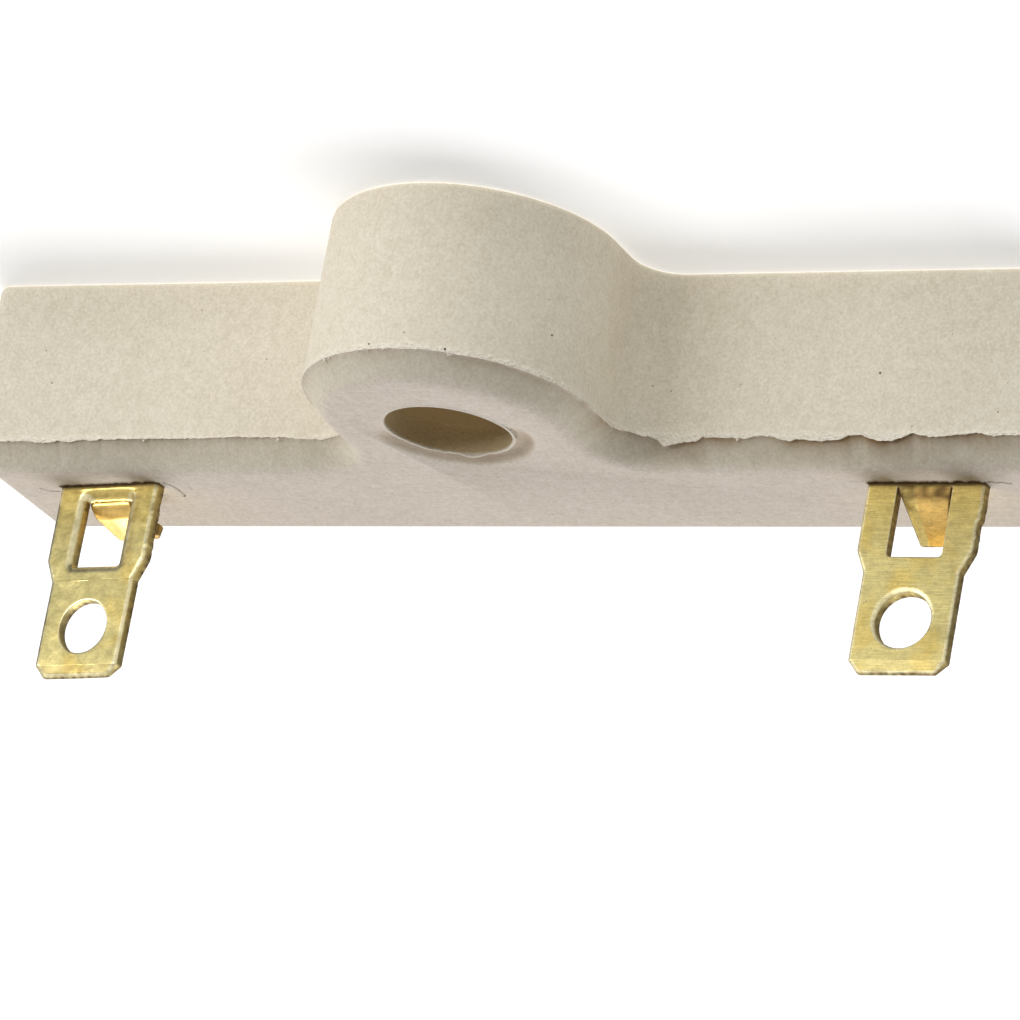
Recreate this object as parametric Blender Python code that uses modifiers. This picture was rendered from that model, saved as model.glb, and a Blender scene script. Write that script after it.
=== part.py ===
"""Ignition coil resistor: a moulded ceramic block with a bolt lug, two brass blades and a resistance coil.

The mounting face lies at z = 0 and the two blades point up, along +Z. The bolt lug points to -Y.
The origin is the middle of the footprint, on the mounting face. Lengths are in metres, angles in degrees.
"""

import math

import bmesh
import bpy
from mathutils import Matrix

# Ceramic body
BLOCK_LENGTH = 0.0754
BLOCK_DEPTH = 0.0126
BODY_HEIGHT = 0.0127
TOP_BEVEL = 0.0016
TOP_BEVEL_PROFILE = 0.4
CORNER_ROUND = 0.0010
FOOT_BEVEL = 0.0004
LUG_RADIUS = 0.0094
BOLT_TO_BLOCK = 0.0051
LUG_FILLET = 0.0025
BOLT_HOLE_RADIUS = 0.0040
COUNTERSINK_WIDTH = 0.0011
COUNTERSINK_DEPTH = 0.0005

# Trough for the coil, open at the mounting face
TROUGH_SIDE_WALL = 0.0021
TROUGH_END_WALL = 0.0030
TROUGH_ROOF = 0.0037
TROUGH_CORNER = 0.0012
TROUGH_DRAFT = 0.0001
MOUTH_BEVEL = 0.0004

# Slots that the blades pass through, closed with cement
SLOT_DEPTH = 0.0034
SLOT_END_ROOM = 0.0018
SLOT_CORNER = 0.0006
SEAL_RECESS = 0.0002

# Stamped terminals
TERMINAL_FROM_END = 0.0093
TERMINAL_SETBACK = 0.00345
SHEET = 0.00081
BLADE_WIDTH = 0.00635
SHANK_WIDTH = 0.0076
NECK_START = 0.0066
NECK_END = 0.0080
TIP_CUT_ACROSS = 0.00065
TIP_CUT_ALONG = 0.0008
TIP_BEVEL = 0.0003
TIP_BEVEL_LENGTH = 0.0008
BLADE_HOLE_RADIUS = 0.0018
BLADE_HOLE_FROM_TIP = 0.0034
WINDOW_WIDTH = 0.0036
WINDOW_LENGTH = 0.0046
WINDOW_CORNER = 0.0004
TAB_ROOT_WIDTH = 0.0034
TAB_TIP_WIDTH = 0.0018
TAB_LENGTH = 0.0036
TAB_CREASE = 0.0002
TAB_BEND_RADIUS = 0.0006
FOOT_BEND_RADIUS = 0.0009
FOOT_LENGTH = 0.0050

# How each terminal sits: its side along X, how far it stands out, how far its window starts above the
# terminal face, its twist, its locking tab's bend and how far the tab's end leans along X
TERMINALS = {
    "terminal_left": {
        "side": 1,
        "reach": 0.0131,
        "window_rise": 0.00095,
        "twist": 5.5,
        "tab_bend": 76.0,
        "tab_lean": -0.0008,
    },
    "terminal_right": {
        "side": -1,
        "reach": 0.0124,
        "window_rise": 0.00025,
        "twist": 0.0,
        "tab_bend": 41.0,
        "tab_lean": -0.00015,
    },
}

# Resistance coil
WIRE_DIAMETER = 0.0009
COIL_DIAMETER = 0.0054
COIL_TURNS = 25
POINTS_PER_TURN = 12
COIL_TO_FOOT = 0.0016
LEAD_EASE = 0.0014
LEAD_EASE_TURN = 100.0
LEAD_PAST_TERMINAL = 0.0026

# Spacing between pieces that touch on the real part
SEAT_GAP = 0.0003

# Facets
LUG_STEPS = 24
FILLET_STEPS = 6
CORNER_STEPS = 4
HOLE_STEPS = 32
BEND_STEPS = 5
BEVEL_SEGMENTS = 3

# An edge that turns by less than the first is shaded smooth, by more than the second takes a bevel
SMOOTH_BELOW = 35.0
BEVEL_ABOVE = 45.0

# How far a cutter runs past the face that it opens
OVERRUN = 0.001

# Places worked out from the sizes above
FOOTPRINT_DEPTH = LUG_RADIUS + BOLT_TO_BLOCK + BLOCK_DEPTH
BOLT_Y = LUG_RADIUS - FOOTPRINT_DEPTH / 2
FRONT_Y = BOLT_Y + BOLT_TO_BLOCK
BACK_Y = FRONT_Y + BLOCK_DEPTH
TROUGH_Y = (FRONT_Y + BACK_Y) / 2
TROUGH_LENGTH = BLOCK_LENGTH - 2 * TROUGH_END_WALL
TROUGH_WIDTH = BLOCK_DEPTH - 2 * TROUGH_SIDE_WALL
ROOF_Z = BODY_HEIGHT - TROUGH_ROOF
TERMINAL_X = BLOCK_LENGTH / 2 - TERMINAL_FROM_END
TERMINAL_Y = FRONT_Y + TERMINAL_SETBACK + SHEET / 2
SLOT_LENGTH = SHANK_WIDTH + 2 * SLOT_END_ROOM
FOOT_Z = ROOF_Z - SEAT_GAP - SHEET / 2
LEAD_Z = FOOT_Z - SHEET / 2 - SEAT_GAP - WIRE_DIAMETER / 2
COIL_Z = LEAD_Z - COIL_DIAMETER / 2
COIL_LENGTH = 2 * TERMINAL_X - SHANK_WIDTH - 2 * COIL_TO_FOOT


def clear_scene():
    for obj in list(bpy.data.objects):
        bpy.data.objects.remove(obj)


def make_collection(name):
    collection = bpy.data.collections.new(name)
    bpy.context.scene.collection.children.link(collection)
    return collection


def principled(name, colour, roughness, metallic=0.0):
    material = bpy.data.materials.new(name)
    material.use_nodes = True
    shader = material.node_tree.nodes["Principled BSDF"]
    shader.inputs["Base Color"].default_value = (*colour, 1.0)
    shader.inputs["Roughness"].default_value = roughness
    shader.inputs["Metallic"].default_value = metallic
    return material


def arc(centre, radius, start, end, steps):
    """Points from one angle to the other, ends included, in the plane of the outline."""
    points = []
    for step in range(steps + 1):
        angle = math.radians(start + (end - start) * step / steps)
        points.append((centre[0] + radius * math.cos(angle), centre[1] + radius * math.sin(angle)))
    return points


def circle(centre, radius, steps):
    return arc(centre, radius, 0, 360, steps)[:-1]


def rounded_rectangle(centre, length, depth, radius):
    """An anticlockwise outline that starts in the corner of +X and +Y."""
    points = []
    for corner, (side_x, side_y) in enumerate([(1, 1), (-1, 1), (-1, -1), (1, -1)]):
        corner_centre = (
            centre[0] + side_x * (length / 2 - radius),
            centre[1] + side_y * (depth / 2 - radius),
        )
        points += arc(corner_centre, radius, 90 * corner, 90 * corner + 90, CORNER_STEPS)
    return points


def add_mesh(name, mesh, collection, material=None):
    obj = bpy.data.objects.new(name, mesh)
    collection.objects.link(obj)
    if material:
        mesh.materials.clear()
        mesh.materials.append(material)
    return obj


def outline_mesh(name, loops, half_height):
    """A filled flat outline, thickened to both sides of its plane. Loops inside the first are holes."""
    curve = bpy.data.curves.new(name, "CURVE")
    curve.dimensions = "2D"
    curve.fill_mode = "BOTH"
    curve.extrude = half_height
    for loop in loops:
        spline = curve.splines.new("POLY")
        spline.points.add(len(loop) - 1)
        for point, (x, y) in zip(spline.points, loop):
            point.co = (x, y, 0.0, 1.0)
        spline.use_cyclic_u = True
    holder = bpy.data.objects.new(name, curve)
    bpy.context.scene.collection.objects.link(holder)
    graph = bpy.context.evaluated_depsgraph_get()
    mesh = bpy.data.meshes.new_from_object(holder.evaluated_get(graph))
    bpy.data.objects.remove(holder)
    bpy.data.curves.remove(curve)
    edit = bmesh.new()
    edit.from_mesh(mesh)
    bmesh.ops.remove_doubles(edit, verts=edit.verts, dist=1e-6)
    if half_height > 0:
        for side in (1, -1):
            cap = [face for face in edit.faces if all(side * vert.co.z > 0 for vert in face.verts)]
            bmesh.ops.dissolve_faces(edit, faces=cap)
    bmesh.ops.recalc_face_normals(edit, faces=edit.faces)
    edit.to_mesh(mesh)
    edit.free()
    return mesh


def loft_mesh(name, rings):
    """A closed solid through rings of equal count, each a flat anticlockwise loop, from the bottom up."""
    edit = bmesh.new()
    rows = [[edit.verts.new(point) for point in ring] for ring in rings]
    edit.faces.new(list(reversed(rows[0])))
    edit.faces.new(rows[-1])
    for lower, upper in zip(rows, rows[1:]):
        for index in range(len(lower)):
            after = (index + 1) % len(lower)
            edit.faces.new([lower[index], lower[after], upper[after], upper[index]])
    mesh = bpy.data.meshes.new(name)
    edit.to_mesh(mesh)
    edit.free()
    return mesh


def make_cutter(name, mesh, collection):
    cutter = add_mesh(name, mesh, collection)
    cutter.hide_render = True
    cutter.display_type = "WIRE"
    return cutter


def cut(target, cutter):
    modifier = target.modifiers.new(cutter.name, "BOOLEAN")
    modifier.operation = "DIFFERENCE"
    modifier.solver = "EXACT"
    modifier.object = cutter


def shade(mesh):
    mesh.shade_smooth()
    mesh.set_sharp_from_angle(angle=math.radians(SMOOTH_BELOW))


def body_outline():
    """The block seen from above, with the bolt lug on its front and a fillet on each side of the lug."""
    half = BLOCK_LENGTH / 2
    flank = LUG_RADIUS + LUG_FILLET
    left_fillet = arc((-flank, FRONT_Y - LUG_FILLET), LUG_FILLET, 90, 0, FILLET_STEPS)
    right_fillet = arc((flank, FRONT_Y - LUG_FILLET), LUG_FILLET, 180, 90, FILLET_STEPS)
    nose = arc((0, BOLT_Y), LUG_RADIUS, 180, 360, LUG_STEPS)
    block_back = [(half, BACK_Y), (-half, BACK_Y), (-half, FRONT_Y)]
    return block_back + left_fillet + nose + right_fillet + [(half, FRONT_Y)]


def weigh_edges(mesh):
    """Bevel weights: full along the terminal face, less at the block's upright corners and its foot."""
    edit = bmesh.new()
    edit.from_mesh(mesh)
    weight = edit.edges.layers.float.new("bevel_weight_edge")
    for edge in edit.edges:
        ends = [vert.co for vert in edge.verts]
        upright = abs(ends[0].z - ends[1].z) > BODY_HEIGHT / 2
        at_corner = min(abs(end.x) for end in ends) > BLOCK_LENGTH / 2 - CORNER_ROUND / 2
        if upright and at_corner:
            edge[weight] = CORNER_ROUND / TOP_BEVEL
        elif not upright and edge.calc_face_angle(0.0) > math.radians(BEVEL_ABOVE):
            edge[weight] = 1.0 if ends[0].z > BODY_HEIGHT / 2 else FOOT_BEVEL / TOP_BEVEL
    edit.to_mesh(mesh)
    edit.free()


def bolt_hole_cutter(collection):
    """A turned cutter: a straight bore that opens into a shallow countersink at the terminal face."""
    flare = COUNTERSINK_WIDTH / COUNTERSINK_DEPTH
    profile = [
        (0.0, BODY_HEIGHT + OVERRUN),
        (BOLT_HOLE_RADIUS + COUNTERSINK_WIDTH + flare * OVERRUN, BODY_HEIGHT + OVERRUN),
        (BOLT_HOLE_RADIUS, BODY_HEIGHT - COUNTERSINK_DEPTH),
        (BOLT_HOLE_RADIUS, -OVERRUN),
        (0.0, -OVERRUN),
    ]
    mesh = bpy.data.meshes.new("bolt_hole_cutter")
    edges = [(index, index + 1) for index in range(len(profile) - 1)]
    mesh.from_pydata([(x, 0.0, z) for x, z in profile], edges, [])
    cutter = make_cutter("bolt_hole_cutter", mesh, collection)
    cutter.location = (0.0, BOLT_Y, 0.0)
    screw = cutter.modifiers.new("turn", "SCREW")
    screw.axis = "Z"
    screw.angle = math.radians(360)
    screw.steps = HOLE_STEPS
    screw.render_steps = HOLE_STEPS
    screw.use_merge_vertices = True
    screw.merge_threshold = 1e-5
    return cutter


def trough_cutter(collection):
    """The trough with its bevelled mouth at the mounting face and a little mould draft towards the roof."""
    levels = [
        (-OVERRUN, MOUTH_BEVEL + OVERRUN),
        (MOUTH_BEVEL, 0.0),
        (ROOF_Z, -TROUGH_DRAFT),
    ]
    rings = []
    for z, grow in levels:
        loop = rounded_rectangle(
            (0.0, TROUGH_Y),
            TROUGH_LENGTH + 2 * grow,
            TROUGH_WIDTH + 2 * grow,
            TROUGH_CORNER + grow,
        )
        rings.append([(x, y, z) for x, y in loop])
    return make_cutter("trough_cutter", loft_mesh("trough_cutter", rings), collection)


def slot_cutter(side, collection):
    """The slot that takes one blade through the trough's roof."""
    loop = rounded_rectangle((0.0, 0.0), SLOT_LENGTH, SLOT_DEPTH, SLOT_CORNER)
    half_height = (TROUGH_ROOF + 2 * OVERRUN) / 2
    name = "slot_cutter_left" if side > 0 else "slot_cutter_right"
    cutter = make_cutter(name, outline_mesh(name, [loop], half_height), collection)
    cutter.location = (side * TERMINAL_X, TERMINAL_Y, ROOF_Z + TROUGH_ROOF / 2)
    return cutter


def make_ceramic_body(collection, cutters, material):
    mesh = outline_mesh("ceramic_body", [body_outline()], BODY_HEIGHT / 2)
    mesh.transform(Matrix.Translation((0.0, 0.0, BODY_HEIGHT / 2)))
    weigh_edges(mesh)
    shade(mesh)
    body = add_mesh("ceramic_body", mesh, collection, material)
    bevel = body.modifiers.new("edge bevels", "BEVEL")
    bevel.limit_method = "WEIGHT"
    bevel.width = TOP_BEVEL
    bevel.segments = BEVEL_SEGMENTS
    bevel.profile = TOP_BEVEL_PROFILE
    bevel.use_clamp_overlap = False
    cut(body, trough_cutter(cutters))
    cut(body, bolt_hole_cutter(cutters))
    for side in (1, -1):
        cut(body, slot_cutter(side, cutters))
    return body


def stamping_outline(strip_length):
    """The flat blank, across X and down -Y from the blade's tip at y = 0 to the end of the foot."""
    tip = BLADE_WIDTH / 2
    shank = SHANK_WIDTH / 2
    right = [
        (tip - TIP_CUT_ACROSS, 0.0),
        (tip, -TIP_CUT_ALONG),
        (tip, -NECK_START),
        (shank, -NECK_END),
        (shank, -strip_length),
    ]
    return [(-x, y) for x, y in right] + [(x, y) for x, y in reversed(right)]


def tab_root(place):
    """Where the tab stays joined on the flat blank, measured down -Y from the blade's tip."""
    return place["window_rise"] - place["reach"]


def window_outline(root_y):
    """The lanced window, whose edge runs round the locking tab that stays joined at root_y."""
    far = root_y + WINDOW_LENGTH
    half = WINDOW_WIDTH / 2
    root = TAB_ROOT_WIDTH / 2
    end = TAB_TIP_WIDTH / 2
    tab_end = root_y + TAB_LENGTH
    left_corner = arc((-half + WINDOW_CORNER, far - WINDOW_CORNER), WINDOW_CORNER, 180, 90, CORNER_STEPS)
    right_corner = arc((half - WINDOW_CORNER, far - WINDOW_CORNER), WINDOW_CORNER, 90, 0, CORNER_STEPS)
    tab = [(root, root_y), (end, tab_end), (-end, tab_end), (-root, root_y)]
    return [(-half, root_y)] + left_corner + right_corner + [(half, root_y)] + tab


def in_tab(point, root_y):
    """True for a point of the flat blank that lies on the locking tab, clear of its root."""
    run = point.y - root_y
    half = (TAB_ROOT_WIDTH + (TAB_TIP_WIDTH - TAB_ROOT_WIDTH) * run / TAB_LENGTH) / 2
    return 1e-6 < run < TAB_LENGTH + 1e-6 and abs(point.x) < half + 1e-6


def bend(distance, radius, angle):
    """How far a strip has gone forwards and sideways once it has run a distance into a bend."""
    run = min(distance, radius * angle)
    rest = distance - run
    turned = run / radius
    forward = radius * math.sin(turned) + rest * math.cos(turned)
    sideways = radius * (1 - math.cos(turned)) + rest * math.sin(turned)
    return forward, sideways


def fold_line(edit, faces, place, normal):
    """Cuts the faces along a line of the flat blank, so that they can fold there."""
    parts = set(faces)
    for face in faces:
        parts.update(face.edges)
        parts.update(face.verts)
    bmesh.ops.bisect_plane(edit, geom=list(parts), dist=1e-7, plane_co=place, plane_no=normal)


def tab_faces(edit, root_y):
    return [face for face in edit.faces if in_tab(face.calc_center_median(), root_y)]


def fold_blank(mesh, place):
    """Folds the flat blank: the locking tab back out of the blade, and the foot over under the roof."""
    edit = bmesh.new()
    edit.from_mesh(mesh)
    reach = place["reach"]
    tab_angle = math.radians(place["tab_bend"])
    root_y = tab_root(place)
    tab_arc = TAB_BEND_RADIUS * tab_angle
    foot_start = -(reach + BODY_HEIGHT - FOOT_Z - FOOT_BEND_RADIUS)
    foot_arc = FOOT_BEND_RADIUS * math.pi / 2
    fold_line(edit, tab_faces(edit, root_y), (0, 0, 0), (1, 0, 0))
    for step in range(BEND_STEPS + 1):
        fold_line(edit, edit.faces[:], (0, foot_start - foot_arc * step / BEND_STEPS, 0), (0, 1, 0))
        if step:
            bend_y = root_y + tab_arc * step / BEND_STEPS
            fold_line(edit, tab_faces(edit, root_y), (0, bend_y, 0), (0, 1, 0))
    for vert in edit.verts:
        flat = vert.co.copy()
        across, down, back = flat.x, -flat.y, 0.0
        if in_tab(flat, root_y):
            across += place["tab_lean"] * (flat.y - root_y) / TAB_LENGTH
            along, back = bend(flat.y - root_y, TAB_BEND_RADIUS, tab_angle)
            down = -root_y - along
            half = TAB_ROOT_WIDTH / 2
            lift = min(1.0, (flat.y - root_y) / (TAB_LENGTH / 2))
            back -= TAB_CREASE * lift * max(0.0, 1 - abs(flat.x) / half)
        elif flat.y < foot_start:
            forward, back = bend(foot_start - flat.y, FOOT_BEND_RADIUS, math.pi / 2)
            down = -foot_start + forward
        vert.co = (across, back, -down)
    edit.to_mesh(mesh)
    edit.free()


def tip_bevel_cutter(name, reach, face, collection):
    """A wedge that takes the corner off the blade's tip on one face, so that a socket slides on."""
    surface = face * SHEET / 2
    side = face * OVERRUN
    slope = TIP_BEVEL / TIP_BEVEL_LENGTH
    loop = [
        (surface + side * slope, -TIP_BEVEL_LENGTH - OVERRUN),
        (surface - face * TIP_BEVEL - side * slope, OVERRUN),
        (surface + side, OVERRUN),
    ]
    mesh = outline_mesh(name, [loop], BLADE_WIDTH)
    stand_up = Matrix(((0, 0, 1, 0), (1, 0, 0, 0), (0, 1, 0, 0), (0, 0, 0, 1)))
    mesh.transform(Matrix.Translation((0.0, 0.0, reach)) @ stand_up)
    return make_cutter(name, mesh, collection)


def make_terminal(name, place, collection, cutters, material):
    """One stamping: a flat blank with its hole and window, folded, then given its thickness."""
    reach = place["reach"]
    strip_length = reach + BODY_HEIGHT - FOOT_Z - FOOT_BEND_RADIUS
    strip_length += FOOT_BEND_RADIUS * math.pi / 2 + FOOT_LENGTH - FOOT_BEND_RADIUS
    hole = circle((0.0, -BLADE_HOLE_FROM_TIP), BLADE_HOLE_RADIUS, HOLE_STEPS)
    mesh = outline_mesh(name, [stamping_outline(strip_length), hole, window_outline(tab_root(place))], 0.0)
    fold_blank(mesh, place)
    mesh.transform(Matrix.Translation((0.0, 0.0, reach)))
    shade(mesh)
    terminal = add_mesh(name, mesh, collection, material)
    terminal.location = (place["side"] * TERMINAL_X, TERMINAL_Y, BODY_HEIGHT)
    terminal.rotation_euler.z = math.radians(place["twist"])
    sheet = terminal.modifiers.new("sheet thickness", "SOLIDIFY")
    sheet.thickness = SHEET
    sheet.offset = 0.0
    sheet.use_even_offset = True
    for face, side_name in ((1, "back"), (-1, "front")):
        wedge = tip_bevel_cutter(f"{name}_{side_name}_tip_cutter", reach, face, cutters)
        wedge.parent = terminal
        cut(terminal, wedge)
    return terminal


def make_seal(name, place, collection, cutters, material):
    """The cement that closes a slot round its blade, a little below the terminal face."""
    loop = rounded_rectangle(
        (0.0, 0.0), SLOT_LENGTH - 2 * SEAT_GAP, SLOT_DEPTH - 2 * SEAT_GAP, SLOT_CORNER
    )
    height = TROUGH_ROOF - SEAL_RECESS
    seal = add_mesh(name, outline_mesh(name, [loop], height / 2), collection, material)
    seal.location = (place["side"] * TERMINAL_X, TERMINAL_Y, ROOF_Z + height / 2)
    slit_width = SHANK_WIDTH + 2 * SEAT_GAP
    slit_depth = SHEET + 2 * SEAT_GAP
    slit = rounded_rectangle((0.0, 0.0), slit_width, slit_depth, SEAT_GAP)
    cutter_name = f"{name}_slit_cutter"
    cutter = make_cutter(cutter_name, outline_mesh(cutter_name, [slit], height / 2 + OVERRUN), cutters)
    cutter.location = seal.location
    cutter.rotation_euler.z = math.radians(place["twist"])
    cut(seal, cutter)
    return seal


def coil_points():
    """The wire's middle line, from one lead's end to the other.

    Each half is the mirror of the other about the middle turn: (along X, angle about X) from the middle.
    """
    ease_turn = math.radians(LEAD_EASE_TURN)
    turning = math.pi * COIL_TURNS - ease_turn
    steps = COIL_TURNS * POINTS_PER_TURN // 2
    half = COIL_LENGTH / 2
    spots = [(half * step / steps, turning * step / steps) for step in range(1, steps + 1)]
    ease_steps = POINTS_PER_TURN // 2
    climb = 2 * half / turning * ease_turn
    for step in range(1, ease_steps + 1):
        share = step / ease_steps
        along = half + climb * share + (LEAD_EASE - climb) * share**2
        spots.append((along, turning + ease_turn * (1 - (1 - share) ** 2)))
    spots.append((TERMINAL_X + LEAD_PAST_TERMINAL, turning + ease_turn))
    mirrored = [(-along, -angle) for along, angle in reversed(spots)]
    middle_angle = math.pi / 2 - math.pi * COIL_TURNS
    radius = COIL_DIAMETER / 2
    points = []
    for along, angle in mirrored + [(0.0, 0.0)] + spots:
        turned = middle_angle + angle
        points.append((along, radius * math.cos(turned), COIL_Z + radius * math.sin(turned)))
    return points


def make_coil(collection, material):
    curve = bpy.data.curves.new("resistance_coil", "CURVE")
    curve.dimensions = "3D"
    curve.bevel_depth = WIRE_DIAMETER / 2
    curve.bevel_resolution = 2
    curve.use_fill_caps = True
    points = coil_points()
    spline = curve.splines.new("POLY")
    spline.points.add(len(points) - 1)
    for point, place in zip(spline.points, points):
        point.co = (*place, 1.0)
    curve.materials.append(material)
    coil = bpy.data.objects.new("resistance_coil", curve)
    coil.location.y = TROUGH_Y
    collection.objects.link(coil)
    return coil


def main():
    clear_scene()
    parts = make_collection("ignition_coil_resistor")
    cutters = make_collection("cutters")
    ceramic = principled("fired ceramic", (0.62, 0.57, 0.47), 0.85)
    cement = principled("sealing cement", (0.56, 0.50, 0.41), 0.95)
    brass = principled("stamped brass", (0.72, 0.58, 0.24), 0.3, metallic=1.0)
    wire = principled("resistance wire", (0.42, 0.40, 0.38), 0.4, metallic=1.0)
    make_ceramic_body(parts, cutters, ceramic)
    for name, place in TERMINALS.items():
        make_terminal(name, place, parts, cutters, brass)
        make_seal(name.replace("terminal", "cement_seal"), place, parts, cutters, cement)
    make_coil(parts, wire)


main()
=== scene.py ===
"""Dresses the ignition coil resistor: torn ceramic edges, cement, stamped brass, the wound coil and the studio.

The mounting face lies at z = 0, the blades point up along +Z and the bolt lug to -Y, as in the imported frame.
Lengths are in metres, angles in degrees.
"""

import math
import random

import bmesh
import bpy
from bpy.props import FloatProperty, FloatVectorProperty, IntProperty, PointerProperty
from mathutils import Matrix, Vector, noise


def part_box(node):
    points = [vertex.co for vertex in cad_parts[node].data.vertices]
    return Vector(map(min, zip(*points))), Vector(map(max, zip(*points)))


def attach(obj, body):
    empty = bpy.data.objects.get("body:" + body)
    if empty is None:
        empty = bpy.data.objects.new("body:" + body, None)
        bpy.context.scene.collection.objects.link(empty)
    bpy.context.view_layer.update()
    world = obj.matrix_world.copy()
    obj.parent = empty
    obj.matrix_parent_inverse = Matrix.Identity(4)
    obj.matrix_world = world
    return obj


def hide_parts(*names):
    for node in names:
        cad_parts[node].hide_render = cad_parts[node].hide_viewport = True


bl_info = {
    "name": "Ignition coil resistor",
    "version": (1, 0, 0),
    "blender": (4, 5, 0),
    "location": "3D View > Sidebar > Resistor",
    "description": "Makes the dressed pieces and the studio of an ignition coil resistor",
    "category": "Object",
}

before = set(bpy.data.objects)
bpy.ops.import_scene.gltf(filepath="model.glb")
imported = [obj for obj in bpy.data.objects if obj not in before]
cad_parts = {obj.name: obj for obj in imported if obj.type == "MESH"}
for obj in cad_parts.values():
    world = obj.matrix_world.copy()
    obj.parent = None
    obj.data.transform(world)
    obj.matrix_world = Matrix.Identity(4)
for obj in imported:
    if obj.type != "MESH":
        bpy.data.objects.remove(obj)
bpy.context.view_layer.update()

MM = 0.001
BODY_LOW, BODY_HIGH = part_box("ceramic_body")

# The block, as in the part's source
HEIGHT = BODY_HIGH.z
HALF_LENGTH = BODY_HIGH.x
BACK_Y = BODY_HIGH.y
BLOCK_DEPTH = 12.6 * MM
FRONT_Y = BACK_Y - BLOCK_DEPTH
LUG_RADIUS = 9.4 * MM
BOLT_Y = BODY_LOW.y + LUG_RADIUS
LUG_FILLET = 2.5 * MM
CORNER_ROUND = 1.0 * MM
TROUGH_LENGTH = 69.4 * MM
TROUGH_WIDTH = 8.4 * MM
TROUGH_CORNER = 1.2 * MM
TROUGH_Y = (FRONT_Y + BACK_Y) / 2
ROOF_Z = 9.0 * MM
SLOT_LENGTH = 11.2 * MM
SLOT_DEPTH = 3.4 * MM
SLOT_CORNER = 0.6 * MM
EDGE_BEVEL = 1.6 * MM

# The terminals, as in the part's source
TERMINAL_X = 28.4 * MM
TERMINAL_Y = 4.805 * MM
SHEET = 0.81 * MM
SHANK_WIDTH = 7.6 * MM
NECK_START = 6.6 * MM
NECK_END = 8.0 * MM
TIP_CUT_ACROSS = 0.65 * MM
TIP_CUT_ALONG = 0.8 * MM
TIP_BEVEL = 0.3 * MM
TIP_BEVEL_LENGTH = 0.8 * MM
HOLE_FROM_TIP = 3.4 * MM
WINDOW_WIDTH = 3.6 * MM
WINDOW_LENGTH = 4.6 * MM
WINDOW_FROM_TIP = 7.55 * MM
ROOT_Y = -WINDOW_FROM_TIP - WINDOW_LENGTH
TAB_ROOT_WIDTH = 3.4 * MM
TAB_TIP_WIDTH = 1.8 * MM
TAB_LENGTH = 3.6 * MM
TAB_BEND_RADIUS = 0.35 * MM
FOOT_BEND_RADIUS = 0.9 * MM
FOOT_LENGTH = 5.0 * MM
FOOT_Z = 8.295 * MM
TERMINALS = {
    "left": {"side": 1, "reach": 13.1 * MM, "twist": 5.5, "tab_bend": 76.0, "tab_lean": 0.15 * MM},
    "right": {"side": -1, "reach": 12.4 * MM, "twist": 0.0, "tab_bend": 41.0, "tab_lean": -0.15 * MM},
}

# Where the torn mould edge along the block's front stands, from one end to the other: (x, height), in millimetres
TORN_EDGE = (
    (-37.7, -0.10), (-35.2, -0.10), (-33.6, -0.04), (-33.0, -0.22), (-31.3, -0.12), (-29.9, 0.02), (-29.2, -0.14),
    (-28.6, -0.26), (-28.0, -0.02), (-27.4, 0.24), (-26.6, 0.26), (-25.9, 0.12), (-25.3, -0.14), (-24.4, -0.12),
    (-23.8, 0.16), (-22.3, 0.22), (-21.1, 0.09), (-20.6, 0.21), (-19.8, 0.06), (-19.2, -0.12), (-18.2, -0.12),
    (-17.7, 0.06), (-16.9, 0.0), (-15.5, -0.07), (-14.7, -0.08), (-14.3, 0.22), (-13.2, 0.30), (-12.6, 0.46),
    (-12.2, 0.54), (-11.8, 0.14), (-11.2, -0.10), (-10.1, -0.15), (-9.6, -0.05), (9.4, -0.06), (13.4, -0.10),
    (14.3, -0.24), (18.3, -0.26), (20.6, -0.19), (24.5, -0.16), (27.6, -0.16), (28.3, -0.04), (28.9, -0.17),
    (30.0, 0.05), (30.7, -0.07), (31.8, 0.06), (32.6, 0.0), (33.5, -0.07), (35.4, -0.05), (37.7, -0.08),
)


# Properties


def length(name, description, default, **limits):
    return FloatProperty(name=name, description=description, default=default, unit="LENGTH", precision=5, **limits)


def strength(name, description, default, **settings):
    return FloatProperty(name=name, description=description, default=default, min=0.0, **settings)


def colour(name, description, default):
    return FloatVectorProperty(
        name=name, description=description, default=default, subtype="COLOR", size=3, min=0.0, max=1.0
    )


class CeramicSettings(bpy.types.PropertyGroup):
    edge_bevel: length("Edge bevel", "Width of the rounded bevel round the terminal face", EDGE_BEVEL)
    foot_bevel: length("Foot bevel", "Width of the bevel round the mounting face", 0.4 * MM)
    bolt_radius: length("Bolt hole radius", "Radius of the bolt hole in the lug", 4.0 * MM)
    countersink: length("Countersink width", "How far the countersink reaches past the bolt hole", 1.1 * MM)
    flash_thickness: length("Flash thickness", "Thickness of the torn fin at the mould's parting line", 0.09 * MM)
    wall_tone: colour("Wall colour", "Colour of the moulded side walls", (0.72, 0.665, 0.545))
    face_tone: colour("Face colour", "Colour of the terminal face, slightly pinker", (0.70, 0.625, 0.545))
    # Paints grime and shade: the shade under the torn fin and on the countersink's far side, and grime in the pores
    grime_and_shade_tone: colour("Dirt_and_shade colour", "Colour of the dirt held under torn edges", (0.27, 0.155, 0.055))
    # Painted shade and warm bounce light: the bolt hole's wall below its top is painted in this colour
    bore_shade_tone: colour("Bore colour", "Colour of the browned wall of the bolt hole", (0.585, 0.465, 0.275))
    torn_tone: colour("Torn colour", "Colour of freshly torn ceramic", (0.80, 0.75, 0.65))


class CrumbSettings(bpy.types.PropertyGroup):
    crumb_size: length("Crumb size", "Middle size of a crumb of torn ceramic", 0.21 * MM)
    speck_size: length("Speck size", "Middle size of a dark mineral speck", 0.11 * MM)
    seed: IntProperty(name="Seed", description="Seed of the crumbs and specks", default=4)


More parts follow.
